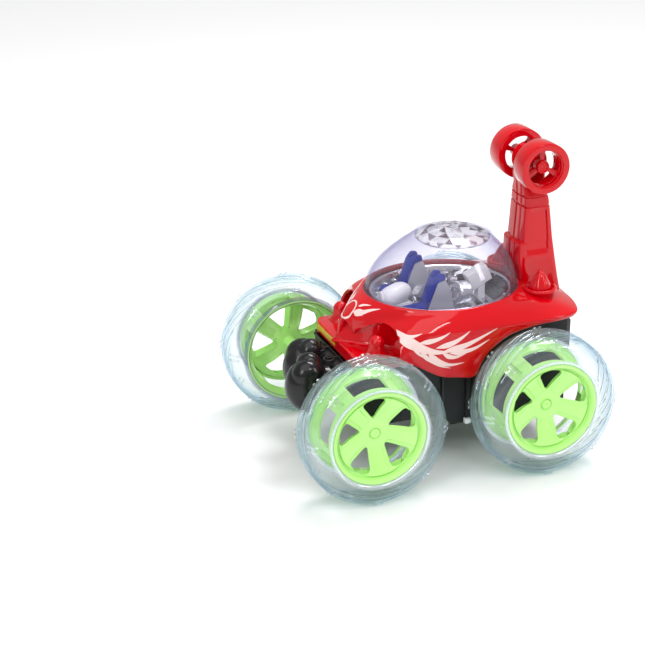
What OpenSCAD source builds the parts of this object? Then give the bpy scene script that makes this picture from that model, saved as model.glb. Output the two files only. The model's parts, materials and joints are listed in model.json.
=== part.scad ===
/* [Overall] */
// Radius of each big wheel
wheel_r = 52; // [46:1:58]
// Width of each big wheel
wheel_w = 35; // [32:1:36]
// Distance between the front and rear axles
wheelbase = 130; // [126:1:140]
// Distance between the middles of the left and right tyres
track = 163; // [161:1:172]

/* [Wheels] */
// Radius of the rim where it shows on the outer face
rim_r = 34.3; // [32:0.1:36]
// Number of spokes in each rim
spokes = 5; // [4:1:6]
// How far the hub face sits inside the rim face
hub_recess = 10.3; // [8:0.1:12]
// Turn of the front left wheel, degrees
turn_fl = 12; // [0:1:71]
// Turn of the front right wheel, degrees
turn_fr = 0; // [0:1:71]
// Turn of the rear left wheel, degrees
turn_rl = 18; // [0:1:71]
// Turn of the rear right wheel, degrees
turn_rr = 40; // [0:1:71]
// Radius of the wheel axles
axle_r = 2.5; // [2:0.1:2.6]

/* [Body] */
// Half width of the red body at its widest
body_half_w = 60; // [57:1:61]
// Height of the rim of the deck above the ground
deck_rim_z = 104; // [102:1:106]
// Height of the base of the dome
dome_z = 116; // [114:1:118]
// Half length of the oval base of the dome
dome_a = 56; // [54:1:57]
// Half width of the oval base of the dome
dome_b = 47.5; // [45:0.5:48]
// Height of the rim of the faceted lens
lens_z = 153; // [148:1:156]
// Radius of the faceted lens
lens_r = 29; // [26:1:31]
// Wall of the moulded shells
wall = 2; // [1.6:0.1:2.4]

/* [Tail] */
// Height of the tail roller axis
roller_z = 203.7; // [200:0.1:206]
// Radius of the tail rollers
roller_r = 18.5; // [17:0.1:19]
// Width of each tail roller
roller_w = 14.7; // [13:0.1:15]
// Turn of the left tail roller, degrees
turn_roller_l = 30; // [0:1:119]
// Turn of the right tail roller, degrees
turn_roller_r = 85; // [0:1:119]

/* [Drive] */
// Gear module
gear_m = 1; // [1:0.1:1]
// Teeth on the gear that turns the rear wheel
teeth_axle = 36; // [36:2:36]
// Teeth on the small side of the cluster gear
teeth_small = 12; // [12:1:12]
// Teeth on the large side of the cluster gear
teeth_large = 30; // [30:2:30]
// Teeth on the motor pinion
teeth_pinion = 10; // [10:1:10]

/* [Hidden] */

red = [0.85, 0.01, 0.04];
black = [0.03, 0.03, 0.035];
lime = [0.55, 0.95, 0.35];
clear = [0.8, 0.9, 0.92, 0.35];
silver = [0.75, 0.76, 0.78];
steel = [0.6, 0.6, 0.62];
blue = [0, 0.1, 0.6];

// Clearance of a running fit between a shaft and its bore, on the radius
run_gap = 0.05;

axle_x = wheelbase / 2;
axle_z = wheel_r;
wheel_y = track / 2;
half_w = wheel_w / 2;
rim_face = half_w - 1.2;
hub_face = rim_face - hub_recess;
hub_tube_end = 56;
hub_pit_r = 3.3;
hub_pit = 3.2;
hub_seat = hub_face - hub_pit;

// Tub sizes: half width, floor heights of the rear and front parts, and their tops
tub_half_w = 46;
tub_floor_z = 27;
tub_front_floor_z = 36;
tub_top_z = 96;
tub_front_top_z = 75;
tub_rear_x = -101;
tub_step_x = -3;
tub_front_x = 58;
boss_end = 55;
belly_boss_h = 3.8;
belly_recess = 2;

// Gear train, as distances between centres
mesh_gap = 0.12;
cluster_x = -axle_x + (teeth_axle + teeth_small) * gear_m / 2 + mesh_gap;
motor_x = cluster_x + (teeth_large + teeth_pinion) * gear_m / 2 + mesh_gap;
pin_r = 1.5;
shaft_r = 1;
motor_r = 10;

roller_x = -88.6;
roller_y = 12;
roller_pin_r = 1.5;
roller_seat = 20;

dome_x = -21.5;
lens_x = -29.7;

body_front_x = 55;
body_mid_x = -30;
body_rear_x = -114.5;
body_nose_x = 59.5;
shelf_z = 85.5;

// ---- helpers ----

// Draws a flat outline in the XZ plane and thickens it from y0 to y1
module across(x, z, y0, y1) {
    translate([x, y1, z])
    rotate([90, 0, 0])
    linear_extrude(y1 - y0)
    children();
}

// A cylinder along Y from y0 to y1
module rod(x, z, y0, y1, r) {
    translate([x, y0, z])
    rotate([-90, 0, 0])
    cylinder(h = y1 - y0, r = r, $fn = 64);
}

// Keeps the left side, or mirrors it to the right
module on_side(side) {
    mirror([0, side < 0 ? 1 : 0, 0]) children();
}

module block(x0, x1, y0, y1, z0, z1) {
    translate([x0, y0, z0]) cube([x1 - x0, y1 - y0, z1 - z0]);
}

function oval(a, b, n = 48) = [for (i = [0:n - 1]) [a * cos(360 * i / n), b * sin(360 * i / n)]];

// Involute tooth form
function inv_deg(t) = tan(t) * 180 / PI - t;
function flank(r, rp, rb, half) =
    half + inv_deg(20) - (r > rb ? inv_deg(acos(rb / r)) : 0);
function gear_outline(teeth, thin = 0.1) =
    let (rp = gear_m * teeth / 2, rb = rp * cos(20), ra = rp + 0.85 * gear_m,
         rf = rp - 1.2 * gear_m, half = 90 / teeth - thin / rp * 90 / PI,
         radii = [rf, max(rb, rf), (rp + rb) / 2, rp, (rp + ra) / 2, ra])
    [for (i = [0:teeth - 1]) let (c = 360 * i / teeth)
        each concat(
            [for (r = radii) let (w = flank(r, rp, rb, half)) [r * cos(c - w), r * sin(c - w)]],
            [for (k = [len(radii) - 1:-1:0]) let (r = radii[k], w = flank(r, rp, rb, half))
                [r * cos(c + w), r * sin(c + w)]])];

// The turn of a gear that puts a tooth gap against its mate's tooth, where the mate
// lies in direction dir from this gear's centre and shows tooth phase 0 there
function meshed_turn(dir, teeth) = dir + 180 / teeth;

// ---- chassis ----

module tub_outline() {
    polygon([
        [tub_rear_x, tub_floor_z + 6], [tub_rear_x + 6, tub_floor_z],
        [tub_step_x - 8, tub_floor_z], [tub_step_x, tub_front_floor_z],
        [tub_front_x - 4, tub_front_floor_z], [tub_front_x, tub_front_floor_z + 8],
        [tub_front_x, tub_front_top_z], [22, tub_front_top_z],
        [12, tub_top_z - 8], [-24, tub_top_z], [tub_rear_x, tub_top_z]]);
}

module chassis_tub() {
    color(black) difference() {
        union() {
            across(0, 0, -tub_half_w, tub_half_w) tub_outline();
            block(tub_front_x - 3, axle_x, -boss_end, boss_end, axle_z - 7, axle_z + 7);
            rod(axle_x, axle_z, -boss_end, boss_end, 7);
            rod(-axle_x, axle_z, -boss_end, boss_end, 8);
        }
        difference() {
            across(0, 0, -tub_half_w + wall, tub_half_w - wall) tub_inner();
            at_belly_screws() cylinder(h = belly_boss_h, r = 4.6, $fn = 48);
        }
        at_belly_screws() translate([0, 0, -1]) cylinder(h = 1 + belly_recess, r = 3.2, $fn = 48);
        at_belly_screws() cylinder(h = belly_boss_h + 1, r = 1.4, $fn = 32);
        rod(axle_x, axle_z, -60, 60, axle_r);
        rod(-axle_x, axle_z, -60, 60, 4.5);
        block(6, 50, -27, 27, tub_front_floor_z - 1, tub_front_floor_z + wall + 1);
        block(-26, -12, -27, -19, tub_floor_z - 1, tub_floor_z + wall + 1);
        at_socket() cylinder(h = 20, r = 4, $fn = 48);
    }
}

// Places a part at each of the four screws in the belly, from the floor's outside up
module at_belly_screws() {
    for (x = [-90, -18], y = [-38, 38]) translate([x, y, tub_floor_z]) children();
}

module tub_inner() {
    polygon([
        [tub_rear_x + wall, tub_floor_z + 7], [tub_rear_x + 7, tub_floor_z + wall],
        [tub_step_x - 9, tub_floor_z + wall], [tub_step_x - 1, tub_front_floor_z + wall],
        [tub_front_x - 5, tub_front_floor_z + wall], [tub_front_x - wall, tub_front_floor_z + 9],
        [tub_front_x - wall, tub_front_top_z + 1], [25, tub_front_top_z + 1],
        [25, tub_front_top_z - wall], [20, tub_front_top_z - wall], [10.6, tub_top_z - 9.8],
        [-24, tub_top_z - wall], [-25.5, tub_top_z + 1], [tub_rear_x + wall, tub_top_z + 1]]);
}

// Places a part at the charging socket, pointing out of the rear wall
module at_socket() {
    translate([tub_rear_x + 12, 24, 84]) rotate([0, -90, 0]) children();
}

module chassis_cover() {
    color(black) union() {
        difference() {
            block(tub_rear_x, -24.5, -tub_half_w, tub_half_w, tub_top_z, tub_top_z + 1.6);
            translate([-62, 0, tub_top_z - 1]) cylinder(h = 5, r = 6, $fn = 48);
        }
        block(24, axle_x - 3, -38, 38, tub_front_top_z, tub_front_top_z + 1.6);
    }
}

module battery_door() {
    color(black) difference() {
        block(6.3, 49.7, -26.7, 26.7, tub_front_floor_z - 0.4, tub_front_floor_z + 1.6);
        translate([44, 0, 30]) cylinder(h = 10, r = 1.6, $fn = 32);
        for (i = [0:5]) block(12 + 4 * i, 13.4 + 4 * i, -16, 16, tub_front_floor_z - 1,
            tub_front_floor_z + 0.1);
    }
}

// A cross screw pointing up, with the top of its head at the origin
module screw_up(head_r, shank_r, length) {
    translate([0, 0, -1.6]) difference() {
        union() {
            cylinder(h = 1.6, r = head_r, $fn = 32);
            cylinder(h = 1.6 + length, r = shank_r, $fn = 32);
        }
        translate([-head_r * 0.6, -0.35, -1]) cube([head_r * 1.2, 0.7, 1.8]);
        translate([-0.35, -head_r * 0.6, -1]) cube([0.7, head_r * 1.2, 1.8]);
    }
}

module bottom_screws() {
    color(steel) {
        translate([44, 0, tub_front_floor_z - 0.4]) screw_up(3, 1.5, 2);
        at_belly_screws() translate([0, 0, belly_recess]) screw_up(3, 1.4, 1.7);
    }
}

// ---- red body ----

// Half width of the body at x, drawn out to a point in front and blunt behind
function body_half(x, grow = 0) =
    let (u = x > body_mid_x ? (x - body_mid_x) / (body_front_x + grow - body_mid_x)
                            : (body_mid_x - x) / (body_mid_x - body_rear_x + grow))
    (body_half_w + grow) * (x > body_mid_x ? pow(max(0, 1 - pow(u, 2)), 0.667)
                                           : pow(max(0, 1 - pow(u, 11)), 0.43));

// Points of the body outline, starting in front and running round by the left
function body_outline(grow, n) = [for (i = [0:n - 1])
    let (t = 360 * i / n, c = cos(t),
         x = c > 0 ? body_mid_x + c * (body_front_x + grow - body_mid_x)
                   : body_mid_x + c * (body_mid_x - body_rear_x + grow))
    [x, sign(sin(t)) * body_half(x, grow)]];

// A closed ring wall through a list of rings that have the same number of points
module ring_wall(rings, n) {
    m = len(rings);
    polyhedron(
        points = [for (ring = rings) each ring],
        faces = [for (k = [0:m - 1], i = [0:n - 1])
            let (a = k * n + i, b = k * n + (i + 1) % n, c = ((k + 1) % m) * n + (i + 1) % n,
                 d = ((k + 1) % m) * n + i)
            each [[a, c, b], [a, d, c]]],
        convexity = 8);
}

function at_z(outline, z) = [for (p = outline) [p[0], p[1], z]];
function blend(p, q, t) = [for (i = [0:len(p) - 1]) p[i] * (1 - t) + q[i] * t];
function dome_oval(grow, n) = [for (p = oval(dome_a + grow, dome_b + grow, n)) p + [dome_x, 0]];

// The deck: out from the dome, over the shoulder and down to the rim, with its inside
module deck() {
    n = 56;
    edge = body_outline(0, n);
    under = body_outline(-1.5, n);
    inside = body_outline(-2 - wall, n);
    rim_out = dome_oval(3, n);
    rim_in = dome_oval(-2.5, n);
    ring_wall([
        at_z(under, 97), at_z(edge, 100), at_z(blend(edge, rim_out, 0.06), deck_rim_z),
        at_z(blend(edge, rim_out, 0.3), deck_rim_z + 4.5),
        at_z(blend(edge, rim_out, 0.65), deck_rim_z + 8.8), at_z(rim_out, dome_z),
        at_z(rim_in, dome_z), at_z(rim_in, dome_z - wall),
        at_z(blend(inside, rim_out, 0.6), deck_rim_z + 6.2),
        at_z(blend(inside, rim_out, 0.25), deck_rim_z + 2.2),
        at_z(inside, deck_rim_z - 2), at_z(inside, 97)], n);
}

// Outline of the side panel between the wheels, seen from the side
module side_panel_outline() {
    polygon([[34, 98.5], [34, 92.5], [24, 89.5], [11, 89.5], [7.5, 74.8], [2.6, 71.5], [-24, 67.5],
        [-29, 78.5], [-35, 86], [-50, 96], [-62, 98.5]]);
}

module side_panels() {
    intersection() {
        translate([0, 0, 60]) linear_extrude(38.5) difference() {
            polygon(body_outline(-1.5, 56));
            polygon(body_outline(-2 - wall, 56));
        }
        across(0, 0, -70, 70) side_panel_outline();
    }
}

module rounded_slab(x0, x1, half, r, z0, z1) {
    translate([0, 0, z0]) linear_extrude(z1 - z0) union() {
        translate([x0, -half]) square([x1 - r - x0, 2 * half]);
        translate([x1 - r - 1, -half + r]) square([r + 1, 2 * half - 2 * r]);
        for (s = [-1, 1]) translate([x1 - r, s * (half - r)]) circle(r = r, $fn = 48);
    }
}

module nose_shelf() {
    difference() {
        rounded_slab(24, body_nose_x, 43, 6, 77, shelf_z);
        rounded_slab(26, body_nose_x - wall, 43 - wall, 4.5, 76, shelf_z - wall);
    }
}

// The prow in the middle of the nose, a pointed wall that carries the hood
function prow_outline(front, half, grow, n) = [for (i = [0:n - 1])
    let (t = 360 * i / n, u = cos(t), reach = u > 0 ? front - 20 : 24)
    [20 + (reach + grow) * u, (half + grow) * sign(sin(t)) * pow(abs(sin(t)), u > 0 ? 1.5 : 1)]];

module prow() {
    n = 40;
    intersection() {
        block(26, body_nose_x, -40, 40, shelf_z - 1, 99.5);
        prow_wall(n);
    }
}

module prow_wall(n) {
    ring_wall([
        at_z(prow_outline(body_nose_x - 1, 25, 0, n), shelf_z - 1),
        at_z(prow_outline(body_nose_x - 3, 32, 0, n), 99.5),
        at_z(prow_outline(body_nose_x - 3, 32, -wall, n), 99.5),
        at_z(prow_outline(body_nose_x - 1, 25, -wall, n), shelf_z - 1)], n);
}

module body_shell() {
    color(red) union() {
        deck();
        prow();
        nose_shelf();
        side_panels();
    }
}

module lamp_bullet(side) {
    color(red) translate([42.3, side * 34.1, 85.5]) rotate_extrude($fn = 64)
        polygon(concat([[0, 0], [5.6, 0], [5.1, 8]],
            [for (a = [15:15:90]) [5.1 * cos(a), 8 + 6 * sin(a)]]));
}

module lamp_cone(side) {
    color(red) translate([-86, side * 30, 102]) rotate_extrude($fn = 64)
        polygon([[0, 0], [8, 0], [11, 13], [11, 15], [8.6, 15], [7.6, 17.4], [3.2, 24.5],
            [1.6, 26], [0, 26.2]]);
}

// ---- tower ----

module tower_side() {
    polygon([[-78.6, 101], [-114, 101], [-112, 105], [-106.5, 135], [-101, 172], [-99, 186],
        [-98.5, 196], [-97.6, 203.7], [-96.4, 208.2], [-93.1, 211.5], [-88.6, 212.7],
        [-84.1, 211.5], [-80.8, 208.2], [-79.6, 203.7], [-80, 192], [-80.6, 178], [-79.4, 146.5],
        [-76.5, 144.5], [-76.4, 130], [-78.6, 116]]);
}

module tower_front() {
    polygon([[0, 100], [15.5, 100], [14.2, 140], [13.6, 160], [12.4, 181], [9, 190], [9, 215],
        [0, 215]]);
}

module tower_half(side) {
    color(red) on_side(side) difference() {
        intersection() {
            across(0, 0, 0, 20) tower_side();
            translate([-120, 0, 0]) rotate([90, 0, 90]) linear_extrude(60) tower_front();
        }
        across(0, 0, -1, 11) polygon([[-81, 100], [-108, 100], [-104, 135], [-98.5, 170],
            [-97, 180], [-83, 180], [-82, 146], [-79.5, 140]]);
        rod(roller_x, roller_z, -1, 20, roller_pin_r);
    }
}

module roller_axle() {
    color(steel) rod(roller_x, roller_z, -roller_seat, roller_seat, roller_pin_r);
}

module roller_screws() {
    color(steel) for (s = [-1, 1]) on_side(s)
        cross_screw(roller_x, roller_z, roller_seat + 0.02, 2.4, 1.5, 0.01);
}

module roller(side, turn) {
    color(red) on_side(side) difference() {
        union() {
            translate([roller_x, roller_y, roller_z]) rotate([-90, 0, 0])
                rotate_extrude($fn = 96) polygon([[13.2, 0.6], [15, 0], [17.9, 0], [roller_r, 0.6],
                    [roller_r, roller_w - 0.8], [17.6, roller_w], [13.6, roller_w],
                    [13, roller_w - 0.8], [13, 1.4]]);
            rod(roller_x, roller_z, 9.3, roller_y + 9.7, 4.6);
            for (i = [0:2]) translate([roller_x, 0, roller_z]) rotate([0, -turn - 60 - 120 * i, 0])
                block(3, 14, roller_y + 3, roller_y + 9, -1.6, 1.6);
        }
        rod(roller_x, roller_z, 5, 40, roller_pin_r + run_gap);
        rod(roller_x, roller_z, roller_seat - 0.1, 40, 2.8);
    }
}

// ---- dome and cockpit ----

function dome_ring(t, inset, n) =
    let (f = 1 - pow(t, 2.1), cx = lens_x + (dome_x - lens_x) * f,
         a = lens_r + (dome_a - lens_r) * f - inset, b = lens_r + (dome_b - lens_r) * f - inset)
    [for (i = [0:n - 1]) [cx + a * cos(360 * i / n), b * sin(360 * i / n),
        dome_z + (lens_z - dome_z) * t]];

module dome() {
    n = 48;
    rings = 10;
    outer = [for (k = [0:rings]) dome_ring(k / rings, 0, n)];
    inner = [for (k = [rings:-1:0]) dome_ring(k / rings, 1.6, n)];
    color(clear) ring_wall(concat(outer, inner), n);
}

module dome_lens() {
    color(clear) translate([lens_x, 0, lens_z - 2]) rotate_extrude($fn = 64)
        polygon([[0, 0], [lens_r - 1.7, 0], [lens_r - 1.7, 2], [lens_r - 4, 4.2],
            [lens_r - 14, 7.4], [0, 8.6]]);
}

module cockpit_tub() {
    color(silver) translate([dome_x, 0, 99]) difference() {
        linear_extrude(14) polygon(oval(dome_a - 3, dome_b - 3));
        translate([0, 0, 1.6]) linear_extrude(14) polygon(oval(dome_a - 5, dome_b - 5));
    }
}

seat_y = 20.5;
seat_half_w = 5.8;
cockpit_floor = 100.6;

module seat_frame(side) {
    color(silver) across(0, 0, side * seat_y - seat_half_w, side * seat_y + seat_half_w)
        polygon([[-6.6, 129], [-12.6, 131], [-16.2, 125], [-21.5, cockpit_floor],
            [16, cockpit_floor], [16, 107], [0.5, 108.5]]);
}

module seat_pads() {
    color(blue) for (s = [-1, 1])
        across(0, 0, s * seat_y - seat_half_w, s * seat_y + seat_half_w)
            polygon([[-6.6, 129], [-12.6, 131], [-11.5, 133.5], [-4, 132], [3, 111.5], [16, 110],
                [16, 107], [0.5, 108.5]]);
}

module console() {
    color(silver) union() {
        translate([15, -3, 106.5]) rotate([0, 12, 0]) rotate_extrude($fn = 64)
            polygon(concat([[0, -5.5], [10, -5.5]], [for (a = [0:15:90]) [10 * cos(a), 7 * sin(a)]]));
        block(8, 22, -9, 3, cockpit_floor, 104);
    }
}

module steering_wheel() {
    color(silver) translate([-1.5, 1, 107]) rotate([0, 120, 0]) {
        rotate_extrude($fn = 48) translate([4.2, 0]) circle(r = 0.8, $fn = 24);
        translate([0, 0, -0.6]) cylinder(h = 1.2, r = 1.4, $fn = 32);
        for (i = [0:2]) rotate(120 * i) translate([0, -0.5, -0.4]) cube([4.2, 1, 0.8]);
        cylinder(h = 9, r = 0.7, $fn = 24);
    }
}

module air_filter() {
    color(silver) translate([-32, 9.5, 112]) rotate([0, 78, 32]) rotate_extrude($fn = 64)
        polygon(concat([[0, -6]], [for (i = [0:11]) [(i % 2 == 0) ? 8 : 6.8, -6 + i]], [[0, 5]]));
}

module engine_block() {
    color([0.25, 0.26, 0.28]) union() {
        block(-68, -60, -12, 14, cockpit_floor, 113);
        block(-40, -30, -16, -3, cockpit_floor, 108);
        rod(-64, 114.5, -8, 10, 2.5);
    }
}

module led_module() {
    color([0.95, 0.95, 0.95]) across(0, 0, -10, 10)
        polygon([[-43, cockpit_floor], [-58, cockpit_floor], [-58, 122], [-54, 124], [-43, 113]]);
}

// ---- front bumper ----

module front_bracket() {
    color(black) union() {
        block(tub_front_x, 68, -20, 20, 67, 74);
        for (s = [-1, 1]) translate([68.5, s * 9.5, 64]) cylinder(h = 12.5, r = 4.6, $fn = 48);
        block(66, 74, -18, 18, 60, 70);
    }
}

module bracket_screws() {
    color(black) for (s = [-1, 1]) translate([68.5, s * 9.5, 76.5]) difference() {
        cylinder(h = 1.2, r = 2.8, $fn = 32);
        translate([-1.8, -0.35, 0.6]) cube([3.6, 0.7, 1]);
        translate([-0.35, -1.8, 0.6]) cube([0.7, 3.6, 1]);
    }
}

// A boxing glove: fist, cuff and thumb as round solids, set ahead by the reach
module glove(side, reach) {
    color(black) on_side(side) difference() {
        hull() {
            translate([reach, 15.5, 66]) sphere(r = 14.5, $fn = 28);
            translate([reach - 1, 15.5, 52]) sphere(r = 13, $fn = 28);
            translate([76, 15, 62]) rotate([0, 90, 0]) cylinder(h = 2, r = 12.5, $fn = 28);
        }
        block(50, 74.3, -5, 40, 30, 90);
    }
}

// ---- drive ----

module front_axle() {
    color(steel) difference() {
        rod(axle_x, axle_z, -wheel_y - hub_seat, wheel_y + hub_seat, axle_r);
        for (s = [-1, 1]) on_side(s) rod(axle_x, axle_z, wheel_y + hub_seat - 8, 120, 1.3);
    }
}

module cross_screw(x, z, y, head_r, shank_r, length) {
    difference() {
        union() {
            rod(x, z, y, y + 1.8, head_r);
            rod(x, z, y - length, y, shank_r);
        }
        block(x - head_r * 0.6, x + head_r * 0.6, y + 1, y + 3, z - 0.4, z + 0.4);
        block(x - 0.4, x + 0.4, y + 1, y + 3, z - head_r * 0.6, z + head_r * 0.6);
    }
}

module front_axle_screws() {
    color(steel) for (s = [-1, 1]) on_side(s)
        cross_screw(axle_x, axle_z, wheel_y + hub_seat + 0.1, 3, 1.3, 7);
}

module axle_bushes() {
    color([0.9, 0.9, 0.88]) for (s = [-1, 1]) on_side(s) {
        difference() {
            rod(-axle_x, axle_z, tub_half_w - 0.2, boss_end, 4.5);
            rod(-axle_x, axle_z, 20, 60, axle_r + run_gap);
        }
    }
}

// Gear planes on the left side, measured out from the middle
gear_in = 31.5;
gear_mid = 36.5;
gear_out = 42;

module gearbox(side) {
    color([0.18, 0.18, 0.2]) on_side(side) difference() {
        block(-86, -10.5, 28, tub_half_w - wall, 31, 73);
        block(-84.5, -12, 30, 43, 32.5, 71.5);
        rod(-axle_x, axle_z, 20, 60, axle_r + run_gap);
        rod(cluster_x, axle_z, 20, 60, pin_r);
        rod(motor_x, axle_z, 20, 40, 3.2);
    }
}

module gear_pins() {
    color(steel) for (s = [-1, 1]) on_side(s) rod(cluster_x, axle_z, 28, tub_half_w - wall, pin_r);
}

module motor(side) {
    color(silver) on_side(side) difference() {
        union() {
            intersection() {
                rod(motor_x, axle_z, 3, 27.6, motor_r);
                block(motor_x - motor_r, motor_x + motor_r, 0, 30, axle_z - 7.6, axle_z + 7.6);
            }
            rod(motor_x, axle_z, 27.6, 29.4, 3.1);
        }
        rod(motor_x, axle_z, 18, 40, shaft_r + run_gap);
    }
}

module pinion(side) {
    color([0.92, 0.9, 0.82]) on_side(side) union() {
        across(motor_x, axle_z, gear_in + 0.3, gear_mid - 0.7) difference() {
            rotate(meshed_turn(180, teeth_pinion)) polygon(gear_outline(teeth_pinion));
            circle(r = shaft_r, $fn = 32);
        }
        rod(motor_x, axle_z, 20, gear_mid - 0.7, shaft_r);
    }
}

module cluster_gear(side) {
    color([0.92, 0.9, 0.82]) on_side(side) difference() {
        union() {
            across(cluster_x, axle_z, gear_in, gear_mid - 1) polygon(gear_outline(teeth_large));
            across(cluster_x, axle_z, gear_mid - 1, gear_out - 0.4)
                rotate(meshed_turn(180, teeth_small)) polygon(gear_outline(teeth_small));
            rod(cluster_x, axle_z, 30.2, gear_in, 3);
        }
        rod(cluster_x, axle_z, 25, 60, pin_r + run_gap);
    }
}

module axle_gear(side) {
    color([0.92, 0.9, 0.82]) on_side(side) difference() {
        union() {
            across(-axle_x, axle_z, gear_mid, gear_out - 0.6) polygon(gear_outline(teeth_axle));
            rod(-axle_x, axle_z, 30.2, 42.8, 5);
        }
        rod(-axle_x, axle_z, 20, 60, axle_r);
    }
}

module half_axle(side) {
    color(steel) on_side(side) {
        rod(-axle_x, axle_z, 27, wheel_y + hub_seat, axle_r);
        cross_screw(-axle_x, axle_z, wheel_y + hub_seat, 3, 1.3, 4);
    }
}

// ---- wheels ----

module rim_section() {
    polygon([[31.4, rim_face - 0.6], [32, rim_face], [rim_r - 0.4, rim_face],
        [rim_r, rim_face - 0.6], [rim_r, 8], [36, -half_w + 5], [39.6, -half_w + 3],
        [39.6, -half_w], [37, -half_w], [34.2, -half_w + 3], [32.4, 8]]);
}

module spoke() {
    difference() {
        translate([0, 5, 0]) rotate([90, 0, 0]) linear_extrude(10)
            polygon([[5, hub_face - 0.6], [10, hub_face - 0.2], [24, 10.5], [32.6, 12.5],
                [33, -3], [5, hub_face - 7]]);
        translate([0, 3, 0]) rotate([90, 0, 0]) linear_extrude(6)
            polygon([[11, hub_face - 2.4], [24, 8], [30, 9.5], [30, -20], [11, -20]]);
    }
}

module rim(side, end_x, turn, bore_r) {
    color(lime) on_side(side) translate([end_x, wheel_y, axle_z]) rotate([-90, 0, 0])
        difference() {
            union() {
                difference() {
                    rotate_extrude($fn = 96) rim_section();
                    for (i = [0:spokes - 1]) rotate(-turn - 360 / spokes * i)
                        translate([30, -13, -half_w + 6.5]) cube([10, 26, 15]);
                }
                for (i = [0:spokes - 1]) rotate(-turn - 360 / spokes * (i + 0.5)) spoke();
                translate([0, 0, hub_face - 9]) cylinder(h = 9, r = 8, $fn = 64);
                translate([0, 0, hub_tube_end - wheel_y])
                    cylinder(h = wheel_y - hub_tube_end + hub_face - 4, r = 4.4, $fn = 48);
            }
            translate([0, 0, -40]) cylinder(h = 80, r = bore_r, $fn = 64);
            translate([0, 0, hub_seat]) cylinder(h = 20, r = hub_pit_r, $fn = 48);
        }
}

// Radius of the tyre at a distance from its middle, as a fraction of the half width
function tyre_radius(s) = wheel_r * (1 - 0.2256 * (1 - pow(1 - pow(abs(s), 3), 1 / 3)));
tyre_wall = 1.6;
tyre_steps = [-1, -0.97, -0.9, -0.8, -0.65, -0.4, 0, 0.4, 0.65, 0.8, 0.9, 0.97, 1];

module tyre(side, end_x) {
    outer = [for (s = tyre_steps) [tyre_radius(s), s * half_w]];
    inner = [for (i = [len(tyre_steps) - 1:-1:0]) let (s = tyre_steps[i])
        [tyre_radius(s) - tyre_wall, s * (half_w - tyre_wall)]];
    color(clear) on_side(side) translate([end_x, wheel_y, axle_z]) rotate([-90, 0, 0])
        rotate_extrude($fn = 128) polygon(concat(
            [[39.7, -half_w]], outer, [[rim_r, half_w], [rim_r, half_w - tyre_wall]], inner,
            [[39.7 - 0.1, -half_w + tyre_wall], [39.6, -half_w]]));
}

// ---- electrics ----

module circuit_board() {
    color([0.05, 0.35, 0.12]) union() {
        block(-62, -14, -27, 27, 76, 77.6);
        block(-50, -38, -8, 4, 77.6, 80);
        for (y = [-20, 14]) block(-30, -24, y, y + 5, 77.6, 85);
        for (i = [0:3]) translate([-56, -18 + 9 * i, 77.6]) cylinder(h = 6, r = 2.6, $fn = 32);
    }
}

module speaker() {
    color([0.12, 0.12, 0.12]) translate([-80, 0, 77]) rotate_extrude($fn = 64)
        polygon([[0, 0], [9, 0], [9, 4], [15, 7], [15, 8.4], [13, 8.4], [4, 5.4], [0, 6.4]]);
}

module battery_pack() {
    color([0.1, 0.35, 0.2]) union() {
        for (i = [-1.5:1:1.5]) translate([4, i * 14.4, 45.2]) rotate([0, 90, 0])
            cylinder(h = 48, r = 7.1, $fn = 48);
        block(5, 51, -21.6, 21.6, 42, 48);
    }
}

module charge_socket() {
    color([0.08, 0.08, 0.08]) at_socket() translate([0, 0, -1.4]) difference() {
        cylinder(h = 13.4, r = 4, $fn = 48);
        translate([0, 0, 1.4]) cylinder(h = 20, r = 1.78, $fn = 48);
    }
}

module switch_body() {
    color([0.1, 0.1, 0.1]) difference() {
        block(-27, -12.2, -28, -18, tub_floor_z + wall, tub_floor_z + 8);
        block(-24, -14, -25, -21, tub_floor_z, tub_floor_z + 5);
    }
}

module switch_knob() {
    color([0.7, 0.1, 0.1]) union() {
        block(-23.8, -18.4, -24.8, -21.2, tub_floor_z + 0.3, tub_floor_z + 4.8);
        block(-22.4, -19.8, -24.2, -21.8, tub_floor_z - 1.2, tub_floor_z + 1);
    }
}

chassis_tub();
chassis_cover();
battery_door();
bottom_screws();
body_shell();
tower_half(1);  // tower_left
tower_half(-1);  // tower_right
roller_axle();
roller_screws();
dome();
dome_lens();
cockpit_tub();
seat_frame(1);  // seat_left
seat_frame(-1);  // seat_right
seat_pads();
console();
steering_wheel();
air_filter();
engine_block();
led_module();
lamp_bullet(1);  // nose_lamp_left
lamp_bullet(-1);  // nose_lamp_right
lamp_cone(1);  // tail_lamp_left
lamp_cone(-1);  // tail_lamp_right
front_bracket();
bracket_screws();
glove(1, 88);  // glove_left
glove(-1, 80);  // glove_right
front_axle();
front_axle_screws();
axle_bushes();
gearbox(1);  // gearbox_left
gearbox(-1);  // gearbox_right
gear_pins();
motor(1);  // motor_left
motor(-1);  // motor_right
circuit_board();
speaker();
battery_pack();
charge_socket();
switch_body();
switch_knob();
rim(1, axle_x, turn_fl, axle_r + run_gap);  // rim_front_left
rim(-1, axle_x, turn_fr, axle_r + run_gap);  // rim_front_right
rim(1, -axle_x, turn_rl, axle_r);  // rim_rear_left
rim(-1, -axle_x, turn_rr, axle_r);  // rim_rear_right
tyre(1, axle_x);  // tyre_front_left
tyre(-1, axle_x);  // tyre_front_right
tyre(1, -axle_x);  // tyre_rear_left
tyre(-1, -axle_x);  // tyre_rear_right
half_axle(1);  // half_axle_left
half_axle(-1);  // half_axle_right
axle_gear(1);  // axle_gear_left
axle_gear(-1);  // axle_gear_right
cluster_gear(1);  // cluster_gear_left
cluster_gear(-1);  // cluster_gear_right
pinion(1);  // pinion_left
pinion(-1);  // pinion_right
roller(1, turn_roller_l);  // roller_left
roller(-1, turn_roller_r);  // roller_right
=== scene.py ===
"""RC stunt car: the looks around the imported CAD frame. Lengths below are in millimetres."""

import json
import math

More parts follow.
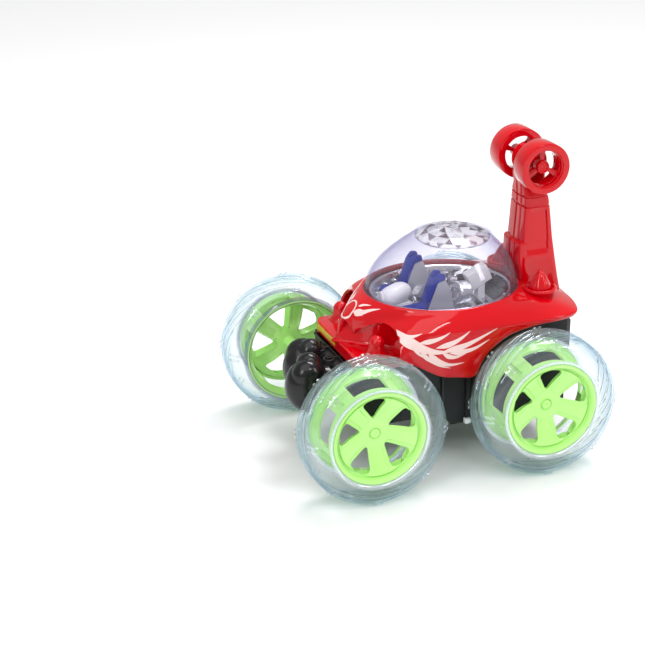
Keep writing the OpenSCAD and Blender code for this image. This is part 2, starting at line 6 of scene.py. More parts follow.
import bmesh
import bpy
import numpy as np
from mathutils import Matrix, Vector
from mathutils.bvhtree import BVHTree


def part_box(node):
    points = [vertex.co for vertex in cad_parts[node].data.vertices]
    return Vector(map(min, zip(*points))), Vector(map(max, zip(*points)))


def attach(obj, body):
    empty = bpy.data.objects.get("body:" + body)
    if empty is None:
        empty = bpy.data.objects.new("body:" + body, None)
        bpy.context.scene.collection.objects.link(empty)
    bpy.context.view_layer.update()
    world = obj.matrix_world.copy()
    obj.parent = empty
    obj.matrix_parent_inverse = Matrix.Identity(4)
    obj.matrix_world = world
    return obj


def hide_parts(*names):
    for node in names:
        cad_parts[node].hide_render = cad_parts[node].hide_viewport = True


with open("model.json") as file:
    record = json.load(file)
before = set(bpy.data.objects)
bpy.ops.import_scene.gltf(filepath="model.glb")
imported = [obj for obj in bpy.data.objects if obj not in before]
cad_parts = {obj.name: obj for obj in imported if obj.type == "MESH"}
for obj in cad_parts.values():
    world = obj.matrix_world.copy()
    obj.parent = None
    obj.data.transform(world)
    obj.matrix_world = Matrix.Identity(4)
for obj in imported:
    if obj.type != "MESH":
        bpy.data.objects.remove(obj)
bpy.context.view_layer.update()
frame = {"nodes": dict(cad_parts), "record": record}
NODES = frame["nodes"]
MM = 0.001


# ---------------------------------------------------------------- mesh helpers

def lerp(a, b, t):
    return a + (b - a) * t


def smoothstep(t):
    t = min(1.0, max(0.0, t))
    return t * t * (3 - 2 * t)


def spline(points, steps, closed=False):
    """Catmull-Rom through the points, with a number of steps to each span."""
    pts = [np.array(p, float) for p in points]
    n = len(pts)
    spans = n if closed else n - 1
    out = []
    for k in range(spans):
        p1, p2 = pts[k], pts[(k + 1) % n]
        p0 = pts[k - 1] if closed or k > 0 else 2 * p1 - p2
        p3 = pts[(k + 2) % n] if closed or k + 2 < n else 2 * p2 - p1
        for j in range(steps):
            t = j / steps
            out.append(0.5 * (2 * p1 + (p2 - p0) * t + (2 * p0 - 5 * p1 + 4 * p2 - p3) * t * t
                              + (3 * p1 - p0 - 3 * p2 + p3) * t ** 3))
    if not closed:
        out.append(pts[-1])
    return out


def grid_faces(rows, cols, wrap_rows=False, wrap_cols=False, skip=None):
    """Quads over rows x cols points, where skip(row, col) leaves a quad out."""
    faces = []
    for i in range(rows if wrap_rows else rows - 1):
        for j in range(cols if wrap_cols else cols - 1):
            if skip and skip(i, j):
                continue
            i2, j2 = (i + 1) % rows, (j + 1) % cols
            faces.append((i * cols + j, i * cols + j2, i2 * cols + j2, i2 * cols + j))
    return faces


class Build:
    """Collects verts and faces of several shells into one mesh."""

    def __init__(self):
        self.verts, self.faces = [], []

    def add(self, verts, faces):
        base = len(self.verts)
        self.verts += [tuple(float(c) for c in v) for v in verts]
        self.faces += [tuple(base + i for i in f) for f in faces]
        return self

    def rows(self, rows, wrap_rows=False, wrap_cols=False, caps=False):
        cols = len(rows[0])
        faces = grid_faces(len(rows), cols, wrap_rows, wrap_cols)
        if caps:
            faces.append(tuple(reversed(range(cols))))
            faces.append(tuple(range((len(rows) - 1) * cols, len(rows) * cols)))
        return self.add([p for row in rows for p in row], faces)

    def lathe(self, profile, n=64, centre=(0, 0, 0), axis="z", closed=True):
        """Turns (radius, height) points round an axis through the centre."""
        rows = []
        for r, h in profile:
            row = []
            for k in range(n):
                a = 2 * math.pi * k / n
                c, s = r * math.cos(a), r * math.sin(a)
                p = {"z": (c, s, h), "y": (s, h, c), "x": (h, c, s)}[axis]
                row.append(tuple(p[i] + centre[i] for i in range(3)))
            rows.append(row)
        return self.rows(rows, wrap_rows=closed, wrap_cols=True)

    def prism(self, outline, y0, y1, place=None):
        """An outline in XZ made solid from y0 to y1."""
        n = len(outline)
        verts = [(x, y0, z) for x, z in outline] + [(x, y1, z) for x, z in outline]
        faces = [tuple(range(n)), tuple(reversed(range(n, 2 * n)))]
        faces += [(i, i + n, (i + 1) % n + n, (i + 1) % n) for i in range(n)]
        if place:
            verts = [place @ Vector(v) for v in verts]
        return self.add(verts, faces)

    def box(self, lo, hi, place=None):
        return self.prism([(lo[0], lo[2]), (hi[0], lo[2]), (hi[0], hi[2]), (lo[0], hi[2])], lo[1], hi[1], place)

    def tube(self, path, radius, n=12):
        pts = [Vector(p) for p in path]
        rows, side = [], None
        for k, p in enumerate(pts):
            d = (pts[min(k + 1, len(pts) - 1)] - pts[max(k - 1, 0)]).normalized()
            side = (side or d.orthogonal()) - d * (side or d.orthogonal()).dot(d)
            side.normalize()
            up = d.cross(side)
            r = radius(k / (len(pts) - 1)) if callable(radius) else radius
            rows.append([p + side * r * math.cos(2 * math.pi * i / n) + up * r * math.sin(2 * math.pi * i / n)
                         for i in range(n)])
        return self.rows(rows, wrap_cols=True, caps=True)


def bevel(width, segments=2, angle=35):
    def add(obj):
        m = obj.modifiers.new("bevel", "BEVEL")
        m.width, m.segments, m.limit_method = width * MM, segments, "ANGLE"
        m.angle_limit = math.radians(angle)
        m.use_clamp_overlap = True
    return add


def thicken(thickness, offset=-1.0, even=True):
    def add(obj):
        m = obj.modifiers.new("wall", "SOLIDIFY")
        m.thickness, m.offset, m.use_even_offset = thickness * MM, offset, even
    return add


def subdivide(levels):
    def add(obj):
        m = obj.modifiers.new("smooth", "SUBSURF")
        m.levels = m.render_levels = levels
    return add


def remesh(size, smooth=0):
    def add(obj):
        m = obj.modifiers.new("remesh", "REMESH")
        m.mode, m.voxel_size = "VOXEL", size * MM
        if smooth:
            s = obj.modifiers.new("relax", "SMOOTH")
            s.factor, s.iterations = 0.5, smooth
    return add


def settle(obj):
    """Applies every modifier."""
    bpy.context.view_layer.update()
    mesh = bpy.data.meshes.new_from_object(obj.evaluated_get(bpy.context.evaluated_depsgraph_get()))
    obj.modifiers.clear()
    obj.data = mesh


def shade(obj, angle=35):
    """Smooth shading, sharp only where faces meet at more than the angle."""
    mesh = obj.data
    mesh.shade_smooth()
    bm = bmesh.new()
    bm.from_mesh(mesh)
    for e in bm.edges:
        e.smooth = len(e.link_faces) == 2 and e.calc_face_angle(0) < math.radians(angle)
    bm.to_mesh(mesh)
    bm.free()


def piece(name, build, material, body="root", replaces=(), steps=(), angle=35, merge=0.0, move=None,
          flip=False):
    """Makes a piece from a Build, applies its modifiers and ties it to its CAD body."""
    mesh = bpy.data.meshes.new(name)
    mesh.from_pydata([tuple(c * MM for c in v) for v in build.verts], [], build.faces)
    obj = bpy.data.objects.new(name, mesh)
    bpy.context.scene.collection.objects.link(obj)
    bm = bmesh.new()
    bm.from_mesh(mesh)
    if merge:
        bmesh.ops.remove_doubles(bm, verts=bm.verts, dist=merge * MM)
    bmesh.ops.recalc_face_normals(bm, faces=bm.faces)
    if flip:
        bmesh.ops.reverse_faces(bm, faces=bm.faces)
    bm.to_mesh(mesh)
    bm.free()
    for step in steps:
        step(obj)
    if steps:
        settle(obj)
    shade(obj, angle)
    for m in material if isinstance(material, (list, tuple)) else [material]:
        obj.data.materials.append(m)
    if move is not None:
        obj.data.transform(move)
        obj.data.update()
    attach(obj, body)
    if replaces:
        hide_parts(*replaces)
    return obj


# ---------------------------------------------------------------- materials

def new_material(name):
    m = bpy.data.materials.new(name)
    m.use_nodes = True
    return m, m.node_tree, m.node_tree.nodes["Principled BSDF"]


def noise(nt, scale, detail=3.0, rough=0.5):
    co = nt.nodes.new("ShaderNodeTexCoord")
    n = nt.nodes.new("ShaderNodeTexNoise")
    n.inputs["Scale"].default_value = scale
    n.inputs["Detail"].default_value = detail
    n.inputs["Roughness"].default_value = rough
    nt.links.new(co.outputs["Object"], n.inputs["Vector"])
    return n


def ramp(nt, source, stops):
    r = nt.nodes.new("ShaderNodeValToRGB")
    el = r.color_ramp.elements
    for k, (pos, colour) in enumerate(stops):
        e = el[k] if k < len(el) else el.new(pos)
        e.position = pos
        e.color = colour if len(colour) == 4 else (*colour, 1)
    nt.links.new(source, r.inputs["Fac"])
    return r


def to_range(nt, source, lo, hi):
    m = nt.nodes.new("ShaderNodeMapRange")
    m.inputs["To Min"].default_value = lo
    m.inputs["To Max"].default_value = hi
    nt.links.new(source, m.inputs["Value"])
    return m.outputs["Result"]


def bump(nt, bsdf, source, strength, distance):
    b = nt.nodes.new("ShaderNodeBump")
    b.inputs["Strength"].default_value = strength
    b.inputs["Distance"].default_value = distance
    nt.links.new(source, b.inputs["Height"])
    nt.links.new(b.outputs["Normal"], bsdf.inputs["Normal"])


def moulded(name, colour, dark, rough=(0.12, 0.2), coat=0.0, metallic=0.0, shine=0.4, grain=900, depth=0.00002,
            strength=0.1):
    """Moulded plastic: a faint flow in the colour, polish that varies, and a fine surface grain."""
    m, nt, b = new_material(name)
    flow = noise(nt, 14, 2)
    c = ramp(nt, flow.outputs["Fac"], [(0.3, dark), (0.7, colour)])
    nt.links.new(c.outputs["Color"], b.inputs["Base Color"])
    wear = noise(nt, 60, 4, 0.6)
    nt.links.new(to_range(nt, wear.outputs["Fac"], *rough), b.inputs["Roughness"])
    b.inputs["Metallic"].default_value = metallic
    b.inputs["Specular IOR Level"].default_value = shine
    b.inputs["Coat Weight"].default_value = coat
    b.inputs["Coat Roughness"].default_value = 0.03
    fine = noise(nt, grain, 2)
    bump(nt, b, fine.outputs["Fac"], strength, depth)
    return m


def clear(name, tint, edge, sheen, facing, grazing, rough=0.04, metallic=0.8, blend=0.3, painted_crease_lines=0.0):
    """Thin clear plastic: see-through face on, tinted and shining like glass where it turns away.

    The last argument sets how strongly painted highlight lines on sharp ridges and painted shade lines in creases show."""
    m, nt, b = new_material(name)
    flow = noise(nt, 18, 2)
    c = ramp(nt, flow.outputs["Fac"], [(0.3, tuple(0.86 * v for v in sheen)), (0.7, sheen)])
    nt.links.new(c.outputs["Color"], b.inputs["Base Color"])
    nt.links.new(to_range(nt, noise(nt, 40, 3).outputs["Fac"], rough, rough * 1.8), b.inputs["Roughness"])
    b.inputs["Metallic"].default_value = metallic
    lw = nt.nodes.new("ShaderNodeLayerWeight")
    lw.inputs["Blend"].default_value = blend
    see = nt.nodes.new("ShaderNodeBsdfTransparent")
    depth = ramp(nt, lw.outputs["Facing"], [(0.15, tint), (0.9, edge)])
    nt.links.new(depth.outputs["Color"], see.inputs["Color"])
    mix = nt.nodes.new("ShaderNodeMixShader")
    rise = ramp(nt, lw.outputs["Facing"], [(0.0, (facing,) * 3), (0.45, (facing + 0.12 * grazing,) * 3),
                                           (0.85, (0.6 * grazing,) * 3), (1.0, (grazing,) * 3)])
    cover = rise.outputs["Color"]
    if painted_crease_lines:
        # pointiness paints lines on the clear plastic: a painted highlight along ridges and painted shade along grooves
        shape = nt.nodes.new("ShaderNodeNewGeometry")
        painted_crease_mask = ramp(nt, shape.outputs["Pointiness"], [(0.455, (painted_crease_lines,) * 3), (0.49, (0.0,) * 3),
                                                        (0.51, (0.0,) * 3), (0.545, (painted_crease_lines,) * 3)])
        both = nt.nodes.new("ShaderNodeMath")
        both.operation = "MAXIMUM"
        nt.links.new(cover, both.inputs[0])
        nt.links.new(painted_crease_mask.outputs["Color"], both.inputs[1])
        cover = both.outputs[0]
        # painted shade: the base colour darkens to a deep blue in the grooves
        groove_painted_shade = ramp(nt, shape.outputs["Pointiness"], [(0.44, (0.30, 0.38, 0.52)), (0.5, (1.0,) * 3)])
        groove_shade_tint = nt.nodes.new("ShaderNodeMix")
        groove_shade_tint.data_type, groove_shade_tint.blend_type = "RGBA", "MULTIPLY"
        groove_shade_tint.inputs[0].default_value = 1.0
        nt.links.new(c.outputs["Color"], groove_shade_tint.inputs[6])
        nt.links.new(groove_painted_shade.outputs["Color"], groove_shade_tint.inputs[7])
        nt.links.new(groove_shade_tint.outputs[2], b.inputs["Base Color"])
    nt.links.new(cover, mix.inputs[0])
    nt.links.new(see.outputs[0], mix.inputs[1])
    nt.links.new(b.outputs[0], mix.inputs[2])
    nt.links.new(mix.outputs[0], nt.nodes["Material Output"].inputs["Surface"])
    return m


RED = moulded("red_gloss", (0.64, 0.0, 0.006), (0.56, 0.0, 0.004), rough=(0.05, 0.09), shine=0.2, coat=0.5)
BLACK = moulded("black_satin", (0.020, 0.021, 0.023), (0.012, 0.012, 0.013), rough=(0.28, 0.42), shine=0.25,
                grain=1400, depth=0.00004, strength=0.3)
GLOVE = moulded("glove_gloss", (0.012, 0.012, 0.014), (0.006, 0.006, 0.007), rough=(0.16, 0.24), grain=700,
                depth=0.00006, strength=0.25)
LIME = moulded("lime_moulding", (0.50, 0.88, 0.27), (0.43, 0.84, 0.20), rough=(0.15, 0.25), coat=0.2)
# the tyre gets painted highlight and shade lines along its tread creases
TYRE = clear("tyre_clear", (0.970, 0.982, 0.990), (0.60, 0.76, 0.88), (0.90, 0.96, 1.0), 0.04, 0.6, metallic=0.5,
             painted_crease_lines=0.6)
DOME = clear("dome_clear", (0.945, 0.94, 0.965), (0.68, 0.68, 0.82), (0.92, 0.90, 0.98), 0.03, 0.55, metallic=0.6)
FACET_CLEAR = clear("lens_clear", (0.97, 0.97, 0.99), (0.5, 0.5, 0.55), (0.95, 0.95, 0.97), 0.10, 0.6)
# painted glint and painted shade: a pale copy and a dark copy of the clear lens material, for the crown's facets
FACET_PAINTED_GLINT = clear("lens_painted_glint", (0.95, 0.96, 0.98), (0.7, 0.7, 0.75), (0.97, 0.97, 1.0), 0.35, 0.75, metallic=0.3)
FACET_PAINTED_SHADE = clear("lens_painted_shade", (0.50, 0.44, 0.50), (0.2, 0.14, 0.17), (0.5, 0.45, 0.5), 0.2, 0.6)
FOIL = moulded("silver_foil", (0.88, 0.89, 0.92), (0.70, 0.71, 0.75), rough=(0.12, 0.26), metallic=1.0, grain=160,
               depth=0.0009, strength=0.5)
SEAT_GREY = moulded("seat_grey", (0.50, 0.51, 0.56), (0.40, 0.41, 0.46), rough=(0.3, 0.4), metallic=0.2)
BLUE = moulded("seat_blue", (0.0, 0.02, 0.36), (0.0, 0.014, 0.28), rough=(0.15, 0.25), shine=0.25)
WHITE = moulded("white_moulding", (0.93, 0.93, 0.94), (0.88, 0.88, 0.90), rough=(0.25, 0.35))
DARK_GREY = moulded("dark_grey", (0.055, 0.057, 0.062), (0.035, 0.036, 0.04), rough=(0.35, 0.5), grain=1400,
                    depth=0.00004, strength=0.3)
STEEL = moulded("zinc_steel", (0.62, 0.62, 0.64), (0.50, 0.50, 0.52), rough=(0.2, 0.35), metallic=1.0)
BLACK_STEEL = moulded("black_steel", (0.05, 0.05, 0.05), (0.03, 0.03, 0.03), rough=(0.3, 0.4), metallic=1.0)
NYLON = moulded("natural_nylon", (0.86, 0.84, 0.76), (0.80, 0.78, 0.70), rough=(0.35, 0.45))
BOARD = moulded("board_green", (0.03, 0.25, 0.08), (0.02, 0.18, 0.06), rough=(0.3, 0.45))
WRAP = moulded("battery_wrap", (0.06, 0.30, 0.14), (0.05, 0.25, 0.11), rough=(0.15, 0.25))
KNOB = moulded("switch_red", (0.55, 0.03, 0.03), (0.48, 0.02, 0.02), rough=(0.35, 0.45))
YELLOW = moulded("yellow_film", (0.80, 0.50, 0.015), (0.72, 0.43, 0.01), rough=(0.25, 0.35))
DECAL = moulded("pale_film", (0.93, 0.70, 0.68), (0.88, 0.62, 0.60), rough=(0.2, 0.3))

SLOTS = {"body_red": RED, "chassis_black": BLACK, "glove_black": GLOVE, "rim_lime": LIME, "clear_tyre": TYRE,
         "clear_dome": DOME, "clear_lens": FACET_CLEAR, "silver_trim": FOIL, "seat_grey": SEAT_GREY,
         "seat_blue": BLUE, "steel": STEEL, "black_steel": BLACK_STEEL, "gear_plastic": NYLON,
         "dark_grey": DARK_GREY, "white_plastic": WHITE, "board_green": BOARD, "battery_wrap": WRAP,
         "switch_red": KNOB}


# ---------------------------------------------------------------- wheels

WHEEL_R, WHEEL_HALF, RIM_R = 52.0, 17.5, 34.3
RIM_FACE = WHEEL_HALF - 1.2
HUB_FACE = RIM_FACE - 10.3
TYRE_WALL = 1.4


def crown(s):
    """Radius of the tyre at a share s of its half width."""
    return WHEEL_R * (1 - 0.2256 * (1 - max(0.0, 1 - abs(s) ** 3) ** (1 / 3)))


def tread(s, turn):
    """How far the tyre stands proud, in mm, at a share s of its half width and a turn in degrees."""
    out = 0.0
    near = ((turn + 22.5) % 45) - 22.5
    if 0.66 < abs(s) < 0.995:
        ends = smoothstep((abs(s) - 0.67) / 0.03) * smoothstep((0.985 - abs(s)) / 0.015)
        for bar in (-2.3, 2.3):
            out += 1.4 * ends * smoothstep((1.3 - abs(near - bar)) / 0.5)
    for shift, start, reach in ((0, 0.66, 0.9), (14, 0.5, 0.75), (29, 0.35, 0.6)):
        t = ((turn * (1 if s > 0 else -1) + shift) % 45) / 45
        line = start - reach * t ** 1.6
        away = abs(abs(s) - line) * WHEEL_HALF
        out -= 1.2 * math.exp(-(away / 0.75) ** 2) * smoothstep(t / 0.15) * smoothstep((1 - t) / 0.2)
    return out


def tyre_build():
    around = 720
    across = [math.sin(math.pi / 2 * k / 46) for k in range(-46, 47)]
    outside = [(crown(s), s * WHEEL_HALF, s) for s in across]
    inside = [(crown(s) - TYRE_WALL, s * (WHEEL_HALF - TYRE_WALL), 2) for s in across[::-4]]
    ring = ([(37.4, -WHEEL_HALF + 0.6, 2)] + outside
            + [(37.6, WHEEL_HALF, 2), (35.2, WHEEL_HALF - 0.2, 2), (RIM_R + 0.1, WHEEL_HALF - 1.2, 2)]
            + [(RIM_R + 0.1, WHEEL_HALF - 2.2, 2), (37.0, WHEEL_HALF - 1.6, 2)]
            + inside + [(39.0, -WHEEL_HALF + TYRE_WALL, 2), (37.4, -WHEEL_HALF + 1.8, 2)])
    rows = []
    for k in range(around):
        turn = 360 * k / around
        c, sn = math.cos(math.radians(turn)), math.sin(math.radians(turn))
        row = []
        for r, h, s in ring:
            if s != 2:
                lift = tread(s, turn)
                lean = abs(s) ** 6
                r, h = r + lift * (1 - 0.7 * lean), h + math.copysign(lift * lean * 0.7, h)
                h = max(-WHEEL_HALF, min(WHEEL_HALF, h))
                r = min(WHEEL_R, r)
            row.append((r * c, h, r * sn))
        rows.append(row)
    return Build().rows(rows, wrap_rows=True, wrap_cols=True)


def window_half(r, lo=11.6, hi=28.6, widest=22.5):
    """Half angle of a rim window at a radius: round at the hub, broad at the ring."""
    t = (r - lo) / (hi - lo)
    if t <= 0 or t >= 1:
        return 0.0
    return widest * t ** 0.5 * (1 - t ** 12) ** 0.5 * (1 - 0.08 * t)


def face_height(r):
    """Height of the rim's dished face at a radius."""
    if r < 9:
        return HUB_FACE
    return HUB_FACE + 7.2 * smoothstep((r - 9) / 24)


def rim_build(end_turn):
    """A rim with windows centred at end_turn, in degrees from +X towards +Z, axis +Y outwards."""
    b = Build()
    radii = ([3.3, 4.2, 4.6, 8.6, 9.4, 10.4]
             + [11.6 + 17 * (0.5 - 0.5 * math.cos(math.pi * k / 26)) for k in range(27)] + [29.2, 30.6])
    steps = 16
    for sector in range(5):
        for half in (1, -1):
            rows = []
            for r in radii:
                row = []
                for k in range(steps + 1):
                    w = window_half(r)
                    a = math.radians(end_turn + 72 * sector + half * lerp(w, 36, k / steps))
                    edge = abs(lerp(w, 36, k / steps) - 36) / max(36 - w, 1e-6)
                    lift = 0.9 * (1 - edge ** 8) + 0.8 * smoothstep((0.66 - edge) / 0.14) if 10.4 < r < 29 else 0.0
                    if r < 4.5:
                        h = HUB_FACE + (0.9 if r > 3.5 else -0.6)
                    else:
                        h = face_height(r) + lift - 0.9 * (r > 10.4)
                    row.append((r * math.cos(a), h, r * math.sin(a)))
                rows.append(row)
            b.rows(rows)
    return b


def rim_ring_build(end_turn):
    """The outer ring, the barrel with its windows and ribs, the hub tube and the hub plug."""
    around = 180
    profile = [(30.2, 12.2), (30.6, 14.0), (31.4, RIM_FACE - 0.5), (32.2, RIM_FACE), (33.6, RIM_FACE),
               (RIM_R, RIM_FACE - 0.7), (RIM_R, 8.6), (34.6, 7.6), (35.6, -9.8), (36.0, -11.2), (38.2, -15.4),
               (39.4, -16.0), (39.4, -WHEEL_HALF + 0.3), (38.6, -WHEEL_HALF), (37.6, -WHEEL_HALF + 0.8),
               (36.0, -14.6), (34.0, -11.2), (33.4, -9.8), (32.4, 7.6), (32.0, 8.6)]
    barrel = (7, 17)
    rows = []
    for k in range(around):
        a = math.radians(end_turn + 360 * k / around)
        rows.append([(r * math.cos(a), h, r * math.sin(a)) for r, h in profile])
    n = len(profile)

    def window(i):
        near = ((360 * (i + 0.5) / around + 36) % 72) - 36
        return abs(near) < 23
    faces = grid_faces(around, n, True, True, lambda i, j: window(i) and j in barrel)
    for i in range(around):
        i2 = (i + 1) % around
        if window(i):
            faces.append((i * n + 7, i2 * n + 7, i2 * n + 18, i * n + 18))
            faces.append((i * n + 8, i * n + 17, i2 * n + 17, i2 * n + 8))
        if window(i) != window(i2):
            c = i2 * n
            faces.append((c + 7, c + 8, c + 17, c + 18))
    b = Build().add([p for row in rows for p in row], faces)
    for k in range(5):
        a = end_turn + 36 + 72 * k
        spin = Matrix.Rotation(-math.radians(a), 4, "Y")
        b.box((34.2, -10.5, -0.55), (36.9, 7.5, 0.55), spin)
    b.lathe([(2.6, -WHEEL_HALF - 8), (4.4, -WHEEL_HALF - 8), (4.4, HUB_FACE - 5), (8.2, HUB_FACE - 4.6), (8.2, HUB_FACE - 0.8),
             (2.6, HUB_FACE - 0.8)], 48, axis="y")
    b.lathe([(0.05, HUB_FACE + 0.1), (1.1, HUB_FACE + 0.1), (1.4, HUB_FACE + 0.8), (3.0, HUB_FACE + 0.8),
             (3.5, HUB_FACE + 0.2), (3.5, HUB_FACE - 1.2), (0.05, HUB_FACE - 1.2)], 40, axis="y")
    return b


def flipped(side):
    """Turns a wheel built facing +Y to face the side it is on."""
    return Matrix.Identity(4) if side > 0 else Matrix.Scale(-1, 4, (0, 1, 0))


def make_wheels():
    tyre = tyre_build()
    # how far each rim is turned, from +X towards +Z
    turns = {"front_left": 12, "rear_left": 18, "front_right": 0, "rear_right": 40}
    for name, turn in turns.items():
        lo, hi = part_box("tyre_" + name)
        side = 1 if name.endswith("left") else -1
        centre = (lo + hi) / 2
        place = Matrix.Translation(centre) @ flipped(side)
        body = "wheel_" + name
        piece("clear_tyre_" + name, tyre, TYRE, body, ["tyre_" + name], angle=50, move=place)
        piece("rim_face_" + name, rim_build(turn), LIME, body, ["rim_" + name],
                     [thicken(5.5, even=False), bevel(0.45, 3, 50)], merge=0.01, move=place, angle=40)
        piece("rim_barrel_" + name, rim_ring_build(turn), LIME, body, [], [bevel(0.3, 2, 40)],
              move=place)


# ---------------------------------------------------------------- red body

DOME_X, DOME_A, DOME_B, DOME_Z = -21.5, 56.0, 47.5, 116.0
SHELF_Z, NOSE_X = 85.5, 59.5

# Left side of the body from the nose to the tail: the bearing of the dome's rim in degrees,
# the shoulder of the body, and its lower edge
STATIONS = [
    (0, (50.0, 0, 107.6), (54.8, 0, 101.6)), (8, (50.0, 4, 107.2), (54.0, 4.8, 101.0)),
    (14, (50.2, 6.9, 105.9), (51.8, 8.0, 97.9)), (18, (49.9, 8.6, 103.8), (49.9, 9.2, 92.6)),
    (24, (48.8, 11.1, 103.7), (48.8, 11.3, 94.3)), (31, (45.8, 15.3, 104.5), (46.6, 15.4, 97.5)),
    (38, (40.4, 20.4, 105.9), (41.8, 21.1, 102.3)), (46, (33.8, 26.6, 107.9), (35.4, 27.6, 105.5)),
    (54, (28.8, 34.3, 107.9), (31.9, 36.1, 105.1)), (62, (27.4, 41.6, 107.5), (31.3, 44.0, 103.1)),
    (69, (25.8, 48.0, 106.8), (32.3, 50.3, 99.9)), (75, (22.6, 53.2, 105.7), (33.2, 54.9, 94.2)),
    (80, (16.8, 56.4, 105.1), (32.9, 56.9, 87.7)), (86, (8.0, 58.2, 104.6), (22.9, 57.9, 83.2)),
    (93, (-5, 58.9, 104.2), (4.7, 58.0, 72.6)), (98, (-17, 59.3, 104), (-9, 58.0, 69.4)),
    (104, (-28, 59.5, 104), (-22.8, 57.8, 68.0)), (110, (-39, 59.7, 104), (-28.6, 57.8, 78.0)),
    (116, (-48, 59.8, 104), (-35.2, 57.9, 86.2)), (123, (-60, 59.8, 104), (-49.5, 58.2, 95.6)),
    (131, (-76, 59.5, 104), (-70, 58.4, 100)), (140, (-92, 58.4, 104), (-89, 57.4, 100.6)),
    (150, (-105, 53.4, 104), (-103, 52.6, 100.6)), (161, (-111.5, 38, 104), (-110, 37.5, 100.6)),
    (171, (-114, 18, 104), (-112.7, 17.8, 100.6)), (180, (-114.5, 0, 104), (-113.2, 0, 100.6))]


def dome_rim(bearing, grow):
    a = math.radians(bearing)
    return np.array([DOME_X + (DOME_A + grow) * math.cos(a), (DOME_B + grow) * math.sin(a), 0.0])


def section(bearing, shoulder, edge):
    """Points down the body's skin from the lip round the dome to the lower edge."""
    e, b = np.array(shoulder, float), np.array(edge, float)
    d = dome_rim(bearing, 3.2) + (0, 0, DOME_Z)
    s = (d + e) / 2 + (0, 0, 1.2)
    up, down = s - e, b - e
    r_up = min(4.0, 0.35 * np.linalg.norm(up))
    r_down = min(4.0, 0.35 * np.linalg.norm(down))
    e1 = e + up / np.linalg.norm(up) * r_up
    e2 = e + down / np.linalg.norm(down) * r_down
    mid = e * 0.6 + (e1 + e2) * 0.2
    out = np.array([e[0] - DOME_X, e[1] * 1.6, 0.0])
    out = out / np.linalg.norm(out)
    f = (e2 + b) / 2 + out * 0.025 * np.linalg.norm(down)
    lip = [dome_rim(bearing, g) + (0, 0, z) for g, z in
           ((0.7, DOME_Z - 2.5), (0.7, DOME_Z + 0.2), (1.1, DOME_Z + 0.7), (2.2, DOME_Z + 0.7), (2.7, DOME_Z + 0.35))]
    return lip, [d, s, e1, mid, e2, f, b]


def skin_columns(per_span=7):
    """The columns of the left skin, from nose to tail."""
    bearings = [s[0] for s in STATIONS]
    shoulders = [s[1] for s in STATIONS]
    edges = [s[2] for s in STATIONS]

    def both_ways(points, flip):
        mirror = [np.array(p, float) * flip for p in points]
        ends = [mirror[1]] + [np.array(p, float) for p in points] + [mirror[-2]]
        out = spline(ends, per_span)
        return out[per_span:-per_span]
    flip = np.array([1.0, -1.0, 1.0])
    e, b = both_ways(shoulders, flip), both_ways(edges, flip)
    a = [v[0] for v in spline([(x, 0, 0) for x in bearings], per_span)]
    columns = []
    for k in range(len(a)):
        lip, line = section(a[k], e[k], b[k])
        columns.append(lip + spline(line, 4))
    return columns


def body_skin():
    left = skin_columns()
    right = [[p * (1, -1, 1) for p in col] for col in reversed(left[1:-1])]
    return Build().rows(left + right, wrap_rows=True)


# Where the wall of the nose recess meets the shelf, for the first stations
RECESS_FOOT = [(58.4, 0.9), (57.4, 2.2), (55.2, 4.6), (52.6, 7.2), (50.0, 9.6), (46.0, 14.0), (39.6, 19.2),
               (32.8, 23.6), (26.8, 30.0), (24.8, 38.2), (24.8, 46.0), (26.0, 52.0), (28.0, 55.8)]


def recess_wall():
    columns = []
    feet = spline([(x, y, SHELF_Z) for x, y in RECESS_FOOT], 4)
    tops = []
    for bearing, e, b in STATIONS[:len(RECESS_FOOT)]:
        lip, line = section(bearing, e, b)
        d, s, e1, mid = line[:4]
        tops.append(lerp(s, mid, 0.45) - (0, 0, 1.4))
    tops = spline(tops, 4)
    for foot, top in zip(feet, tops):
        out = np.array([foot[0] - DOME_X, foot[1] * 0.6, 0.0])
        out = out / np.linalg.norm(out)
        line = [top, lerp(top, foot, 0.5) - out * 1.0, foot + (0, 0, 4.5), foot + out * 1.2 + (0, 0, 1.4),
                foot + out * 4.2 + (0, 0, 0.1)]
        columns.append(spline(line, 5))
    b = Build()
    b.rows(columns)
    b.rows([[p * (1, -1, 1) for p in col] for col in columns])
    return b


def nose_shelf():
    """The flat shelf in front, with its upright front and rounded corners."""
    half, corner = 43.0, 7.0
    outline = [(24.0, -half), (24.0, half)]
    for cx, cy, a0 in ((NOSE_X - corner, half - corner, 90), (NOSE_X - corner, -half + corner, 0)):
        for k in range(13):
            a = math.radians(a0 - 90 * k / 12)
            outline.append((cx + corner * math.cos(a), cy + corner * math.sin(a)))
    n = len(outline)
    rows = []
    for grow, z in ((-0.9, SHELF_Z), (-0.25, SHELF_Z - 0.3), (0.0, SHELF_Z - 1.0), (0.0, 77.6), (-0.6, 77.0)):
        row = []
        for x, y in outline:
            row.append((x + (grow if x > 30 else 0), y + math.copysign(grow, y), z))
        rows.append(row)
    b = Build().rows(rows, wrap_cols=True, caps=True)
    # the ridge down the middle, from the badge to the front of the shelf
    ridge = [(60 - 1.0, 83.4), (58.2, 90), (56.9, 97), (55.2, 101.5), (50.5, 103), (52, 92), (54, 83.4)]
    b.prism(ridge, -1.3, 1.3)
    return b


def make_body():
    skin = piece("body_skin", body_skin(), RED, "root", ["body_shell"],
                 [thicken(1.8), bevel(0.35, 2, 60)], angle=55)
    piece("nose_recess", recess_wall(), RED, "root", [], [thicken(1.2)], angle=60)
    piece("nose_shelf", nose_shelf(), RED, "root", [], [bevel(0.3, 2, 50)])
    make_decals(skin)


# ---------------------------------------------------------------- decals

